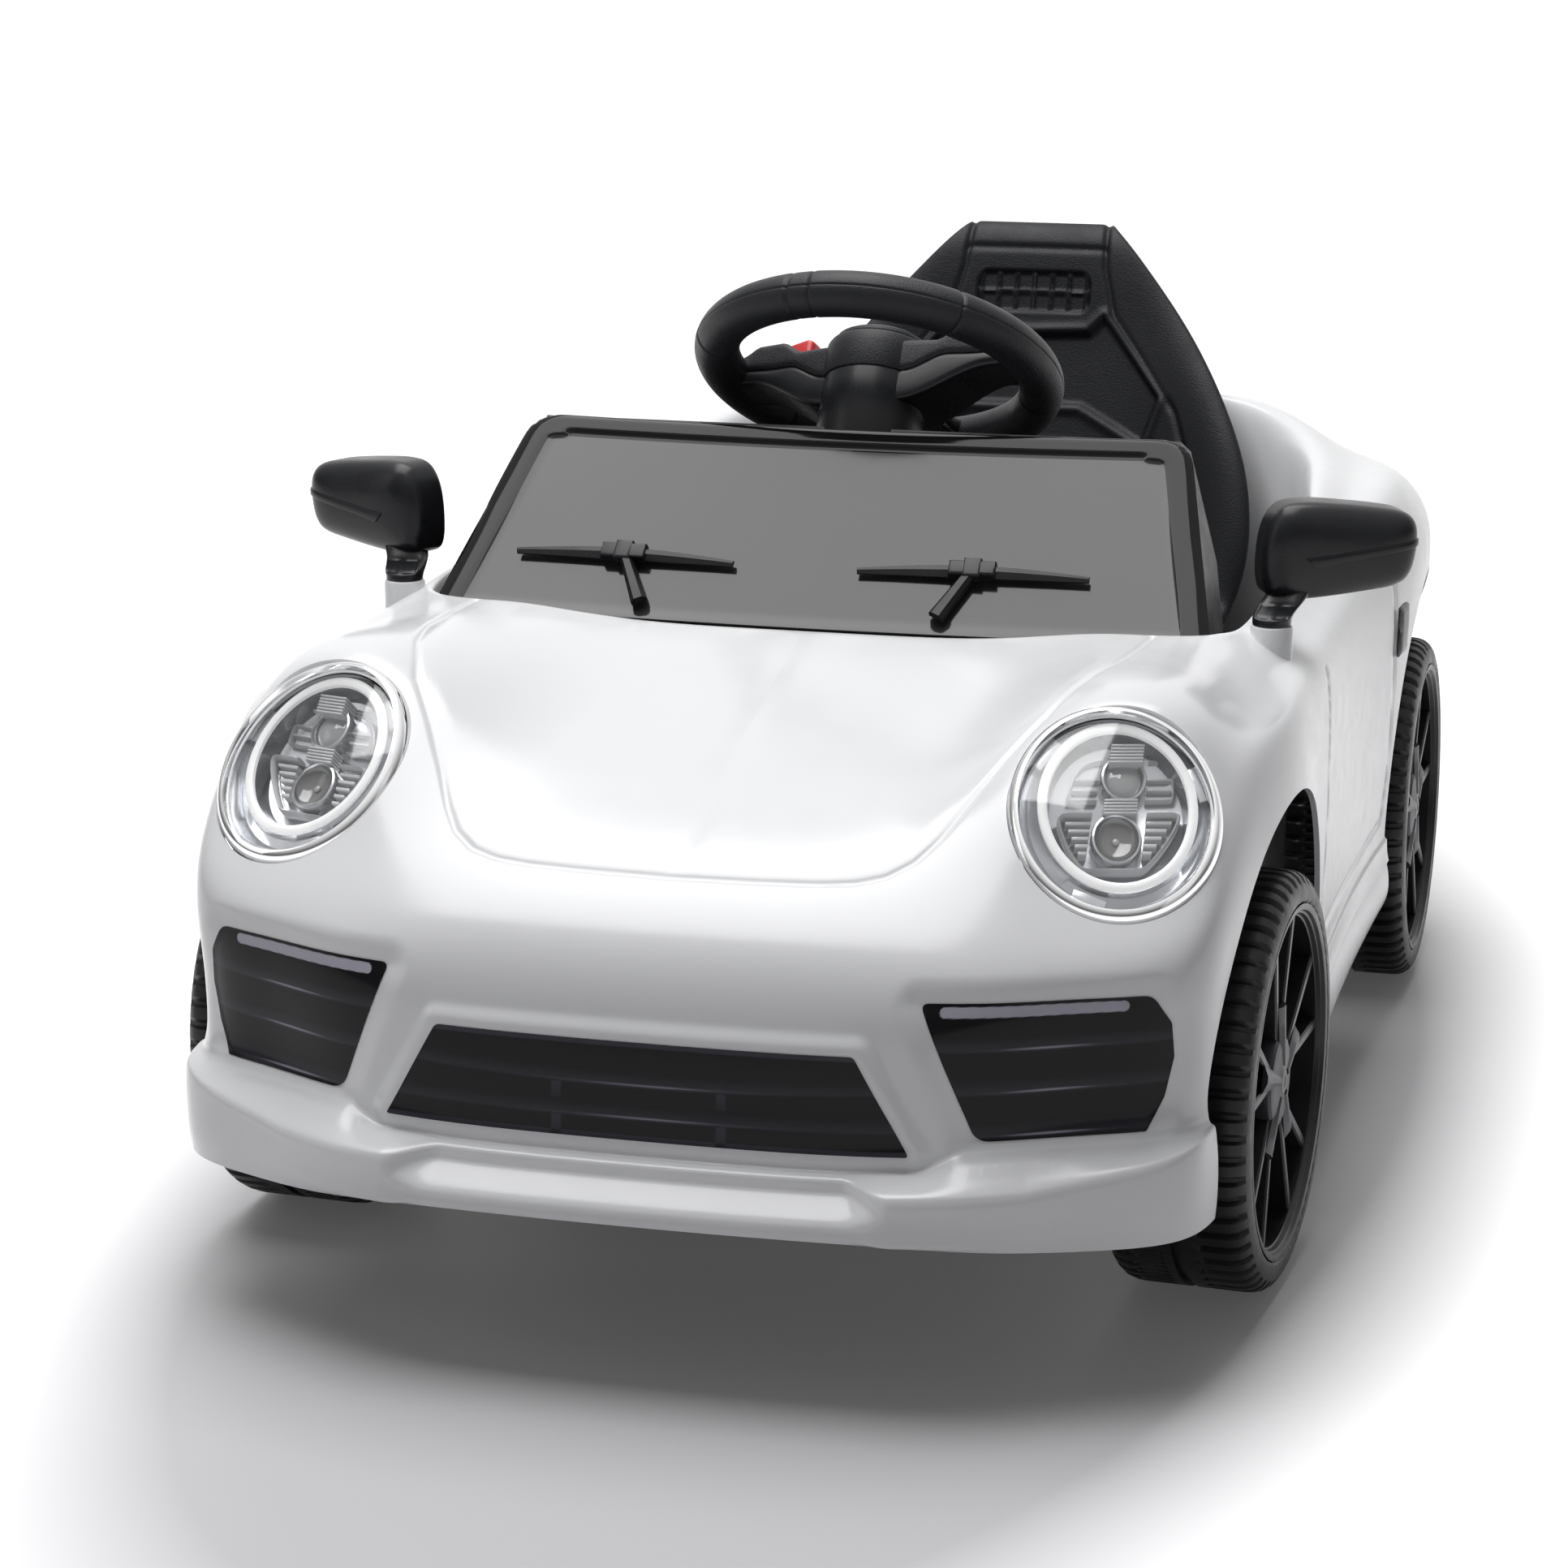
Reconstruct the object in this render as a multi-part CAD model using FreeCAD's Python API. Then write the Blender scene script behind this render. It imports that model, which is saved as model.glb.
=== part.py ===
import FreeCAD, Part
import math
import os

os.makedirs("parts", exist_ok=True)

# The frame: the nose points along -Y, the left side is +X, +Z is up and the ground is at zero
# All sizes are in millimetres and all angles in degrees

# Body shell
body_half_width = 285.0
body_half_length = 512.0
body_height = 340.0
lip_reach = 25.0
shell_wall = 3.0
decal_thickness = 0.5
decal_gap = 0.15

# Wheels, axles and arches
wheel_radius = 110.0
tyre_width = 78.0
tyre_bore_radius = 93.0
tyre_shoulder = 9.0
tread_groove_width = 5.0
tread_groove_depth = 3.0
front_overhang = 257.0
rear_overhang = 179.0
axle_radius = 6.0
running_gap = 0.06
side_gap = 0.3
barrel_wall = 7.0
spoke_pairs = 5
spoke_width = 6.0
spoke_depth = 16.0
spoke_setback = 7.0
spoke_inner_spread = 9.0
spoke_outer_spread = 14.0
hub_radius = 21.0
hub_setback = 14.0
cap_radius = 25.0
cap_height = 10.0
cap_arm_radius = 41.0
cap_arm_half_width = 7.0
cap_arm_thickness = 4.0
cap_wall = 2.5
nut_radius = 9.0
nut_height = 6.0
front_arch_shift = 3.0
front_arch_radius = 142.0
rear_arch_shift = 2.0
rear_arch_radius = 148.0
arch_lift = 8.0
arch_inner_gap = 3.0
arch_overrun = 55.0

# Chassis pan and seat deck
pan_bottom_z = 96.0
pan_thickness = 4.0
pan_front_inset = 32.0
pan_rear_inset = 62.0
pan_front_gap = 6.0
pan_rear_gap = 5.0
pan_nose_setback = 110.0
pan_tail_setback = 26.0
deck_z = 185.0
deck_thickness = 3.0
deck_side_inset = 23.0
deck_front_reach = 133.0
deck_rear_reach = 107.0
bulkhead_reach = 75.0
bulkhead_height = 160.0
bulkhead_thickness = 3.0
bearing_length = 20.0
bearing_half_depth = 15.0
bearing_top = 16.0

# Steering
column_tilt = 34.5
steering_rest = -14.5
steering_per_wheel = 4.0
wheel_centre_reach = 253.0
wheel_centre_z = 433.0
grip_ring_radius = 94.0
grip_radius = 13.0
steer_hub_radius = 31.0
steer_hub_depth = 36.0
steer_hub_rise = 8.0
spoke_arm_inner_y = 24.0
spoke_arm_outer_y = 14.0
spoke_arm_half_height = 8.0
spoke_arm_shift = 4.0
lower_spoke_half_width = 15.0
pad_radius = 29.0
pad_height = 6.0
button_radius = 8.0
button_x = 52.0
button_height = 8.0
button_stroke = 2.0
button_gap = 0.3
shaft_radius = 5.0
shaft_socket_depth = 24.0
crank_drop = 305.0
crank_radius = 11.2
crank_half_width = 8.0
crank_thickness = 7.0
crank_pin_radius = 3.5
crank_pin_length = 22.0
bracket_half_width = 28.0
bracket_leg_width = 11.0
bracket_reach = 55.0
bracket_depth = 40.0
bracket_leg_step = 12.0
bracket_bottom_z = 155.0
bracket_top_z = 185.0

# Front beam, knuckles and tie rod
kingpin_inset = 113.0
kingpin_radius = 5.0
beam_bottom_z = 124.0
beam_height = 16.0
beam_half_depth = 9.0
boss_radius = 11.0
knuckle_block_bottom = 12.0
knuckle_block_top = 7.0
knuckle_block_half_depth = 11.0
knuckle_block_half_width = 14.0
kingpin_nut_radius = 8.0
kingpin_nut_height = 5.0
stub_collar_radius = 9.0
arm_length = 42.0
arm_half_width = 8.0
arm_bottom_z = 108.0
arm_thickness = 5.0
tie_pin_radius = 4.0
tie_pin_end_z = 101.5
tie_bottom_z = 103.0
tie_thickness = 4.0
tie_half_width = 11.0
tie_overhang = 14.0
tie_slot_side_gap = 0.9
tie_slot_run = 7.0
tie_centre_half_width = 22.0
tie_centre_half_depth = 21.0
tie_centre_slot_half_width = 5.6
tie_centre_slot_half_length = 11.0
tie_centre_slot_shift = -3.7

# Windshield, dashboard and wipers
glass_side_inset = 59.0
glass_base_y_share = -0.29297
glass_base_drop = 28.0
glass_taper = 36.0
glass_lean = 98.0
glass_rise = 95.0
glass_bow = 14.0
glass_thickness = 4.0
glass_corner_radius = 20.0
glass_edge_margin = 40.0
wiper_length = 128.0
wiper_width = 8.0
wiper_thickness = 6.0
wiper_left_x = 90.0
wiper_right_x = 118.0
wiper_share = 0.3
wiper_arm_length = 36.0
wiper_arm_angle = 28.0
dash_face_reach = 22.0
dash_drop = 20.0
dash_wall = 4.0
dash_face_wall = 10.0
dash_base_inset = 12.0
dash_top_inset = 6.0
dash_top_drop = 9.0
dash_knee_setback = 14.0
dash_front_lead = 2.0
column_hole_radius = 13.0
switch_x = 96.0
switch_drop = 38.0
rocker_half_width = 7.0
rocker_half_height = 12.0
rocker_depth = 12.0
rocker_pin_radius = 2.0
rocker_gap = 1.6

# Mirrors
mirror_x_share = 0.86842
mirror_y_share = -0.23828
mirror_boss_radius = 11.5
mirror_z_share = 0.94559
mirror_boss_height = 36.5
mirror_peg_radius = 4.0
mirror_peg_length = 14.0
mirror_collar_radius = 10.5
mirror_collar_height = 7.0
mirror_housing_width = 86.0
mirror_housing_depth = 32.0
mirror_housing_height = 54.0
mirror_housing_round = 12.0
mirror_reach = 35.0
mirror_setback = 17.0
mirror_lift = 36.5
mirror_sweep = 24.0
mirror_stalk_radius = 9.0
mirror_glass_margin = 14.0
mirror_glass_thickness = 2.0

# Lights
lamp_x_share = 0.73333
lamp_y_share = -0.72266
lamp_z_share = 0.80588
lamp_tilt = 42.0
lamp_toe = 16.0
lamp_radius = 53.0
lamp_stretch = 1.15
bezel_width = 6.0
bezel_rise = 6.0
bezel_depth = 20.0
lens_thickness = 2.5
lens_rise = 6.0
cup_depth = 34.0
cup_wall = 2.0
projector_radius = 13.0
projector_length = 15.0
projector_offset = 18.0
tail_inner_share = 0.2316
tail_outer_share = 0.793
tail_bottom_share = 0.7353
tail_height = 26.0
tail_rake = 16.0
tail_depth = 44.0

# Grille recess and decals
grille_top_width_share = 0.3684
grille_bottom_width_share = 0.4632
grille_top_share = 0.5132
grille_bottom_share = 0.3809
grille_depth = 1.8
grille_bevel = 5.0
fog_inner_top_share = 0.4737
fog_inner_bottom_share = 0.5754
fog_outer_share = 0.8702
fog_outer_bottom_share = 0.8316
fog_top_share = 0.5853
fog_bottom_share = 0.3794
fog_sweep = 8.0
handle_front_share = 0.3828
handle_rear_share = 0.4531
handle_bottom_share = 0.6941
handle_top_share = 0.7882

# Seat
seat_rise = 283.0
seat_side_gap = 16.0
seat_wall = 14.0
seat_bolster = 44.0
seat_front_gap = 12.0
seat_depth = 256.0
seat_rail_x = 90.0
seat_rail_half_width = 10.0
seat_rail_gap = 40.0
seat_rail_length = 90.0

# Pedal
pedal_inset = 56.0
pedal_half_width = 29.0
pedal_setback = 8.0
pedal_hinge_lift = 12.0
pedal_length = 66.0
pedal_thickness = 5.0
pedal_angle = 22.0
pedal_base_thickness = 4.0
pedal_ear_thickness = 5.0
pedal_ear_half_depth = 8.0
pedal_ear_rise = 8.0
pedal_pin_radius = 2.5
pedal_barrel_radius = 5.0

# Drive
gear_width = 12.0
wheel_module = 1.5
motor_module = 1.0
large_teeth = 42
small_teeth = 14
pressure_angle = 25.0
addendum_share = 0.9
dedendum_share = 1.3
backlash_share = 0.1
idler_direction = 135.0
motor_direction = 180.0
case_inner_inset = 57.0
case_outer_inset = 7.0
case_wall = 3.0
case_margin = 4.5
sleeve_radius = 12.0
idler_pin_radius = 3.0
idler_hub_radius = 8.5
motor_radius = 18.0
motor_length = 54.0
motor_shaft_radius = 2.0
motor_nose_radius = 6.0
motor_nose_length = 3.0
battery_half_width = 75.0
battery_gap = 8.0
battery_depth = 90.0
battery_height = 65.0
box_half_width = 40.0
box_reach = 22.0
box_depth = 55.0
box_height = 30.0
socket_inset = 34.0
socket_drop = 20.0
socket_radius = 8.0
socket_flange_radius = 11.0
socket_flange_height = 2.0
socket_length = 16.0
socket_bore_radius = 2.8
socket_bore_depth = 9.0
screw_head_radius = 4.5
screw_head_height = 2.5
screw_shank_radius = 2.0

# Outline of the mirror housing as shares of its half width and half height
mirror_outline_x_shares = (-1.0, 0.66, 1.0, 0.98, 0.7, -0.72, -1.0)
mirror_outline_z_shares = (-0.92, -0.74, -0.2, 0.4, 0.78, 1.0, 0.6)

# Places of the screws as shares of the pan's half length and half width
screw_x_shares = (0.42, 0.82, 0.82, 0.40)
screw_y_shares = (-0.72, -0.16, 0.30, 0.88)

# Body ribs from the middle of the nose round the left side to the middle of the tail
# Wall and rim places are shares of the body's half width and half length
wall_x_shares = (0.0, 0.193, 0.393, 0.582, 0.734, 0.909, 0.935, 0.949, 0.985, 0.975,
                 0.961, 0.954, 0.965, 0.987, 0.977, 0.953, 0.874, 0.712, 0.368, 0.0)
wall_y_shares = (-0.945, -0.945, -0.938, -0.912, -0.862, -0.82, -0.727, -0.605, -0.469, -0.293,
                 -0.098, 0.117, 0.332, 0.508, 0.673, 0.829, 0.931, 0.969, 0.982, 0.982)
rim_x_shares = (0.0, 0.154, 0.309, 0.449, 0.561, 0.66, 0.73, 0.768, 0.793, 0.807,
                0.811, 0.811, 0.793, 0.726, 0.691, 0.613, 0.481, 0.316, 0.168, 0.0)
rim_y_shares = (-0.312, -0.312, -0.311, -0.307, -0.303, -0.297, -0.289, -0.279, -0.258, -0.205,
                -0.088, 0.107, 0.312, 0.488, 0.645, 0.758, 0.824, 0.859, 0.871, 0.871)

# Body profiles, each from the bottom edge up the wall and over the top to the cabin's inside
# The first six reach shares are of the lip's reach, the others run from the wall to the rim
nose_reach_shares = (0.88, 1.0, 1.0, 0.08, 0.0, 0.0, 0.03, 0.13, 0.385, 0.727, 0.95, 1.0, 1.0)
nose_height_shares = (0.265, 0.285, 0.332, 0.35, 0.391, 0.506, 0.624, 0.715, 0.785, 0.871, 0.926, 0.926, 0.894)
lamp_reach_shares = (0.64, 0.8, 0.8, 0.08, -0.23, -0.05, 0.0, 0.19, 0.32, 0.64, 0.95, 1.0, 1.0)
lamp_height_shares = (0.235, 0.259, 0.359, 0.379, 0.405, 0.532, 0.631, 0.74, 0.988, 0.956, 0.945, 0.942, 0.906)
arch_reach_shares = (0.16, 0.32, 0.32, 0.04, -0.07, 0.1, -0.11, 0.045, 0.25, 0.6, 0.95, 1.0, 1.0)
arch_height_shares = (0.235, 0.259, 0.353, 0.376, 0.416, 0.577, 0.741, 0.882, 0.882, 0.912, 0.932, 0.949, 0.906)
door_reach_shares = (-0.32, 0.16, 0.28, 0.04, 0.0, 0.12, -0.02, 0.1, 0.42, 0.76, 0.97, 1.02, 1.0)
door_height_shares = (0.212, 0.224, 0.288, 0.329, 0.368, 0.559, 0.75, 0.859, 0.884, 0.923, 0.964, 0.918, 0.294)
haunch_reach_shares = (-0.32, 0.08, 0.16, 0.04, 0.0, 0.12, -0.04, -0.065, 0.21, 0.55, 0.885, 1.02, 1.25)
haunch_height_shares = (0.224, 0.247, 0.306, 0.341, 0.382, 0.588, 0.788, 0.856, 0.984, 0.957, 1.022, 0.935, 0.294)
tail_reach_shares = (0.0, 0.16, 0.24, 0.16, 0.0, 0.0, -0.015, 0.02, 0.225, 0.58, 0.86, 1.02, 1.05)
tail_height_shares = (0.282, 0.306, 0.376, 0.441, 0.5, 0.632, 0.771, 0.887, 0.903, 0.995, 1.094, 1.0, 0.294)
wall_rows = 6

profiles = {
    "nose": (nose_reach_shares, nose_height_shares),
    "lamp": (lamp_reach_shares, lamp_height_shares),
    "arch": (arch_reach_shares, arch_height_shares),
    "door": (door_reach_shares, door_height_shares),
    "haunch": (haunch_reach_shares, haunch_height_shares),
    "tail": (tail_reach_shares, tail_height_shares),
}

# The mix of profiles at each rib, as shares
rib_mix_shares = (
    {"nose": 1.0}, {"nose": 1.0}, {"nose": 1.0}, {"nose": 0.45, "lamp": 0.55}, {"lamp": 1.0},
    {"lamp": 0.9, "arch": 0.1}, {"lamp": 0.4, "arch": 0.6}, {"arch": 1.0}, {"arch": 1.0},
    {"arch": 0.55, "door": 0.45}, {"door": 1.0}, {"door": 1.0}, {"door": 0.7, "haunch": 0.3},
    {"haunch": 1.0}, {"haunch": 1.0}, {"haunch": 0.6, "tail": 0.4}, {"tail": 1.0}, {"tail": 1.0},
    {"tail": 1.0}, {"tail": 1.0},
)

# Seat rows from the front edge over the cushion and up the back, as shares of its depth and height
seat_y_shares = (0.0, 0.0, 0.06, 0.27, 0.46, 0.59, 0.65, 0.72, 0.79, 0.86, 0.91, 0.95, 1.0)
seat_z_shares = (0.016, 0.066, 0.094, 0.077, 0.064, 0.107, 0.256, 0.438, 0.611, 0.769, 0.909, 0.992, 1.0)
seat_width_shares = (0.84, 0.86, 0.88, 0.9, 0.92, 0.95, 1.0, 0.97, 0.83, 0.66, 0.46, 0.33, 0.3)
seat_bolster_shares = (0.0, 0.1, 0.35, 0.6, 0.75, 1.0, 1.0, 0.9, 0.6, 0.25, 0.05, 0.0, 0.0)
seat_column_shares = (-1.0, -0.93, -0.72, -0.45, 0.0, 0.45, 0.72, 0.93, 1.0)
seat_column_rise_shares = (0.75, 1.0, 0.45, 0.0, 0.0, 0.0, 0.45, 1.0, 0.75)

# Values that follow from the sizes
axle_z = wheel_radius
wheel_face_x = body_half_width
wheel_inner_x = wheel_face_x - tyre_width
kingpin_x = wheel_face_x - kingpin_inset
front_axle_y = front_overhang - body_half_length
rear_axle_y = body_half_length - rear_overhang
front_arch_y = front_axle_y + front_arch_shift
rear_arch_y = rear_axle_y + rear_arch_shift
arch_centre_z = axle_z + arch_lift
arch_inner_x = wheel_inner_x - arch_inner_gap
arch_outer_x = body_half_width + arch_overrun
pan_top_z = pan_bottom_z + pan_thickness
pan_front_half_width = kingpin_x - pan_front_inset
pan_rear_half_width = wheel_inner_x - pan_rear_inset
pan_sill_front_y = front_arch_y + front_arch_radius + pan_front_gap
pan_sill_rear_y = rear_arch_y - rear_arch_radius - pan_rear_gap
pan_nose_y = pan_nose_setback - body_half_length
pan_tail_y = body_half_length - pan_tail_setback
deck_half_width = wheel_inner_x - deck_side_inset
deck_front_y = rear_axle_y - deck_front_reach
deck_rear_y = rear_axle_y + deck_rear_reach
bulkhead_y = front_axle_y - bulkhead_reach
hub_end_x = wheel_face_x - hub_setback
axle_end_x = hub_end_x + side_gap + nut_height
tilt = math.radians(column_tilt)
knuckle_rest = steering_rest / steering_per_wheel
tie_y = front_axle_y + arm_length
tie_rest_x = -arm_length * math.radians(knuckle_rest)
tie_half_length = kingpin_x + tie_overhang
wheel_centre_y = front_axle_y + wheel_centre_reach
bracket_front_y = front_axle_y + bracket_reach
bracket_rear_y = bracket_front_y + bracket_depth
bracket_leg_front_y = bracket_front_y + bracket_leg_step
glass_base_half_width = body_half_width - glass_side_inset
glass_top_half_width = glass_base_half_width - glass_taper
glass_base_y = glass_base_y_share * body_half_length
glass_top_y = glass_base_y + glass_lean
glass_base_z = body_height - glass_base_drop
glass_top_z = glass_base_z + glass_rise
dash_face_y = glass_top_y + dash_face_reach
dash_knee_y = glass_top_y - dash_knee_setback
dash_front_y = glass_base_y - dash_front_lead
dash_bottom_z = glass_base_z - dash_drop
dash_top_z = glass_top_z - dash_top_drop
dash_base_half_width = glass_base_half_width - dash_base_inset
dash_top_half_width = glass_top_half_width - dash_top_inset
switch_z = dash_top_z - switch_drop
socket_x = dash_top_half_width - socket_inset
socket_z = dash_top_z - socket_drop
mirror_x = mirror_x_share * body_half_width
mirror_y = mirror_y_share * body_half_length
mirror_boss_top_z = mirror_z_share * body_height
mirror_boss_root_z = mirror_boss_top_z - mirror_boss_height
mirror_housing_x = mirror_x + mirror_reach
mirror_housing_y = mirror_y + mirror_setback
mirror_housing_z = mirror_boss_top_z + mirror_lift
lamp_x = lamp_x_share * body_half_width
lamp_y = lamp_y_share * body_half_length
lamp_z = lamp_z_share * body_height
tail_inner_x = tail_inner_share * body_half_width
tail_outer_x = tail_outer_share * body_half_width
tail_bottom_z = tail_bottom_share * body_height
tail_start_y = body_half_length - tail_depth
grille_top_half_width = grille_top_width_share * body_half_width
grille_bottom_half_width = grille_bottom_width_share * body_half_width
grille_top_z = grille_top_share * body_height
grille_bottom_z = grille_bottom_share * body_height
fog_inner_top_x = fog_inner_top_share * body_half_width
fog_inner_bottom_x = fog_inner_bottom_share * body_half_width
fog_outer_x = fog_outer_share * body_half_width
fog_outer_bottom_x = fog_outer_bottom_share * body_half_width
fog_top_z = fog_top_share * body_height
fog_bottom_z = fog_bottom_share * body_height
handle_front_y = handle_front_share * body_half_length
handle_rear_y = handle_rear_share * body_half_length
handle_bottom_z = handle_bottom_share * body_height
handle_top_z = handle_top_share * body_height
seat_half_width = deck_half_width - seat_side_gap
seat_front_y = deck_front_y + seat_front_gap
seat_rail_front_y = deck_front_y + seat_rail_gap
seat_rail_rear_y = seat_rail_front_y + seat_rail_length
pedal_x = pedal_inset - pan_front_half_width
pedal_hinge_y = pan_sill_front_y - pedal_setback
pedal_hinge_z = pan_top_z + pedal_hinge_lift
case_inner_x = wheel_inner_x - case_inner_inset
case_outer_x = wheel_inner_x - case_outer_inset
battery_front_y = deck_front_y + battery_gap
box_front_y = rear_axle_y + box_reach


def vec(x, y, z):
    return FreeCAD.Vector(x, y, z)


along_x = vec(1, 0, 0)
along_y = vec(0, 1, 0)
along_z = vec(0, 0, 1)
origin = vec(0, 0, 0)


def block(x0, x1, y0, y1, z0, z1):
    return Part.makeBox(x1 - x0, y1 - y0, z1 - z0, vec(x0, y0, z0))


def rod(base, direction, radius, length):
    return Part.makeCylinder(radius, length, base, direction)


def largest(shape):
    return max(shape.Solids, key=lambda solid: solid.Volume)


def mirrored(shape):
    return shape.mirror(origin, along_x)


def moved(shape, x, y, z):
    copy = shape.copy()
    copy.translate(vec(x, y, z))
    return copy


def turned(shape, base, axis, angle):
    copy = shape.copy()
    copy.rotate(base, axis, angle)
    return copy


def joined(shapes):
    first = shapes[0]
    whole = first.multiFuse(list(shapes[1:]))
    return whole.removeSplitter()


def prism(points, direction):
    wire = Part.makePolygon(list(points) + [points[0]])
    return Part.Face(wire).extrude(direction)


def spun(points, base, axis):
    wire = Part.makePolygon(list(points) + [points[0]])
    return Part.Face(wire).revolve(base, axis, 360)


def save(name, shape):
    shape.exportStep("parts/" + name + ".step")


# Smooth skins
def knot_counts(count, degree):
    return [degree + 1] + [1] * (count - degree - 1) + [degree + 1]


def knot_places(count, degree):
    spans = count - degree
    return [i / spans for i in range(spans + 1)]


def spline_face(grid, u_degree, v_degree):
    u_count = len(grid)
    v_count = len(grid[0])
    surface = Part.BSplineSurface()
    surface.buildFromPolesMultsKnots(
        grid,
        knot_counts(u_count, u_degree),
        knot_counts(v_count, v_degree),
        knot_places(u_count, u_degree),
        knot_places(v_count, v_degree),
        False,
        False,
        u_degree,
        v_degree,
    )
    return surface.toShape()


def skin_solid(outer, inner):
    last = len(outer[0]) - 1
    first_side = [outer[0], inner[0]]
    last_side = [outer[-1], inner[-1]]
    low_side = [[row[0] for row in outer], [row[0] for row in inner]]
    high_side = [[row[last] for row in outer], [row[last] for row in inner]]
    faces = [spline_face(outer, 3, 3), spline_face(inner, 3, 3)]
    for side in (first_side, last_side, low_side, high_side):
        faces.append(spline_face(side, 1, 3))
    skin = Part.Compound(faces)
    skin.sewShape()
    solid = Part.Solid(skin.Shells[0])
    if solid.Volume < 0:
        solid.reverse()
    return solid


def net_normal(grid, i, j):
    u_last = len(grid) - 1
    v_last = len(grid[0]) - 1
    along_u = grid[min(i + 1, u_last)][j] - grid[max(i - 1, 0)][j]
    along_v = grid[i][min(j + 1, v_last)] - grid[i][max(j - 1, 0)]
    normal = along_u.cross(along_v)
    return normal.normalize()


def offset_net(grid, distance, flat_ends):
    result = []
    for i in range(len(grid)):
        row = []
        for j in range(len(grid[0])):
            normal = net_normal(grid, i, j)
            if flat_ends and i in (0, len(grid) - 1):
                normal = vec(0, normal.y, normal.z)
                normal.normalize()
            row.append(grid[i][j] + normal * distance)
        result.append(row)
    return result


# Body shell
def mixed(index, part, row):
    return sum(profiles[name][part][row] * share for name, share in rib_mix_shares[index].items())


def body_rib(index):
    wall = vec(wall_x_shares[index] * body_half_width, wall_y_shares[index] * body_half_length, 0)
    rim = vec(rim_x_shares[index] * body_half_width, rim_y_shares[index] * body_half_length, 0)
    inward = rim - wall
    outward = wall - rim
    outward.normalize()
    points = []
    for row in range(len(nose_reach_shares)):
        reach = mixed(index, 0, row)
        if row < wall_rows:
            place = wall + outward * (reach * lip_reach)
        else:
            place = wall + inward * reach
        points.append(vec(place.x, place.y, mixed(index, 1, row) * body_height))
    return points


def body_net():
    return [body_rib(index) for index in range(len(wall_x_shares))]


def arch_cutter(centre_y, radius):
    width = arch_outer_x - arch_inner_x
    round_part = rod(vec(arch_inner_x, centre_y, arch_centre_z), along_x, radius, width)
    low_part = block(arch_inner_x, arch_outer_x, centre_y - radius, centre_y + radius, 0, arch_centre_z)
    return round_part.fuse(low_part)


def skirt_cutter():
    return block(-arch_inner_x, arch_inner_x, pan_sill_rear_y, pan_tail_y - deck_thickness, 0, deck_z + side_gap)


def lamp_placed(shape, side):
    stretch = FreeCAD.Matrix()
    stretch.scale(vec(1, lamp_stretch, 1))
    shape = shape.transformGeometry(stretch)
    shape.rotate(origin, along_x, 90 - lamp_tilt)
    shape.rotate(origin, along_z, lamp_toe)
    shape.translate(vec(lamp_x, lamp_y, lamp_z))
    if side < 0:
        return mirrored(shape)
    return shape


def lamp_hole():
    return lamp_placed(rod(vec(0, 0, -cup_depth), along_z, lamp_radius, cup_depth * 2), 1)


def grille_layer(net, top, bottom, grow):
    layer = skin_solid(offset_net(net, top, True), offset_net(net, bottom, True))
    low = grille_bottom_z - grow
    high = grille_top_z + grow
    points = [vec(-grille_bottom_half_width - grow, 0, low), vec(grille_bottom_half_width + grow, 0, low)]
    points.append(vec(grille_top_half_width + grow, 0, high))
    points.append(vec(-grille_top_half_width - grow, 0, high))
    return largest(layer.common(prism(points, vec(0, -body_half_length * 2, 0))))


def tail_prism():
    y = tail_start_y
    points = [vec(tail_inner_x, y, tail_bottom_z), vec(tail_outer_x, y, tail_bottom_z + tail_rake)]
    points.append(vec(tail_outer_x, y, tail_bottom_z + tail_rake + tail_height / 2))
    points.append(vec(tail_inner_x, y, tail_bottom_z + tail_height))
    return prism(points, vec(0, body_half_length, 0))


def make_body(net):
    half = skin_solid(net, offset_net(net, -shell_wall, True))
    half = half.cut(arch_cutter(front_arch_y, front_arch_radius))
    half = half.cut(arch_cutter(rear_arch_y, rear_arch_radius))
    half = half.cut(lamp_hole())
    half = half.cut(skirt_cutter())
    boss_height = mirror_boss_top_z - mirror_boss_root_z
    boss = rod(vec(mirror_x, mirror_y, mirror_boss_root_z), along_z, mirror_boss_radius, boss_height)
    half = half.fuse(boss)
    peg_top = vec(mirror_x, mirror_y, mirror_boss_top_z - mirror_peg_length - side_gap)
    half = half.cut(rod(peg_top, along_z, mirror_peg_radius + running_gap, mirror_peg_length * 2))
    tail_light = half.common(tail_prism())
    half = largest(half.cut(tail_prism()))
    half = half.cut(grille_layer(net, shell_wall, -grille_depth, grille_bevel))
    whole = half.fuse(mirrored(half))
    return largest(whole), largest(tail_light)


def make_decals(net, body):
    layer = skin_solid(offset_net(net, decal_gap + decal_thickness, True), offset_net(net, decal_gap, True))
    points = [vec(fog_inner_bottom_x, 0, fog_bottom_z), vec(fog_outer_bottom_x, 0, fog_bottom_z)]
    points.append(vec(fog_outer_x, 0, fog_top_z - fog_sweep * 2))
    points.append(vec(fog_outer_x - fog_sweep, 0, fog_top_z))
    points.append(vec(fog_inner_top_x, 0, fog_top_z))
    fog = largest(layer.common(prism(points, vec(0, -body_half_length * 2, 0))))
    floor = decal_gap - grille_depth
    grille = grille_layer(net, floor + decal_thickness, floor, 0)
    grille = joined([grille, mirrored(grille)])
    handle = layer.common(block(0, arch_outer_x, handle_front_y, handle_rear_y, handle_bottom_z, handle_top_z))
    handle = max(handle.Solids, key=lambda solid: solid.CenterOfMass.x)
    decals = Part.Compound([fog, mirrored(fog), grille])
    handles = Part.Compound([handle, mirrored(handle)])
    return decals, handles


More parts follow.
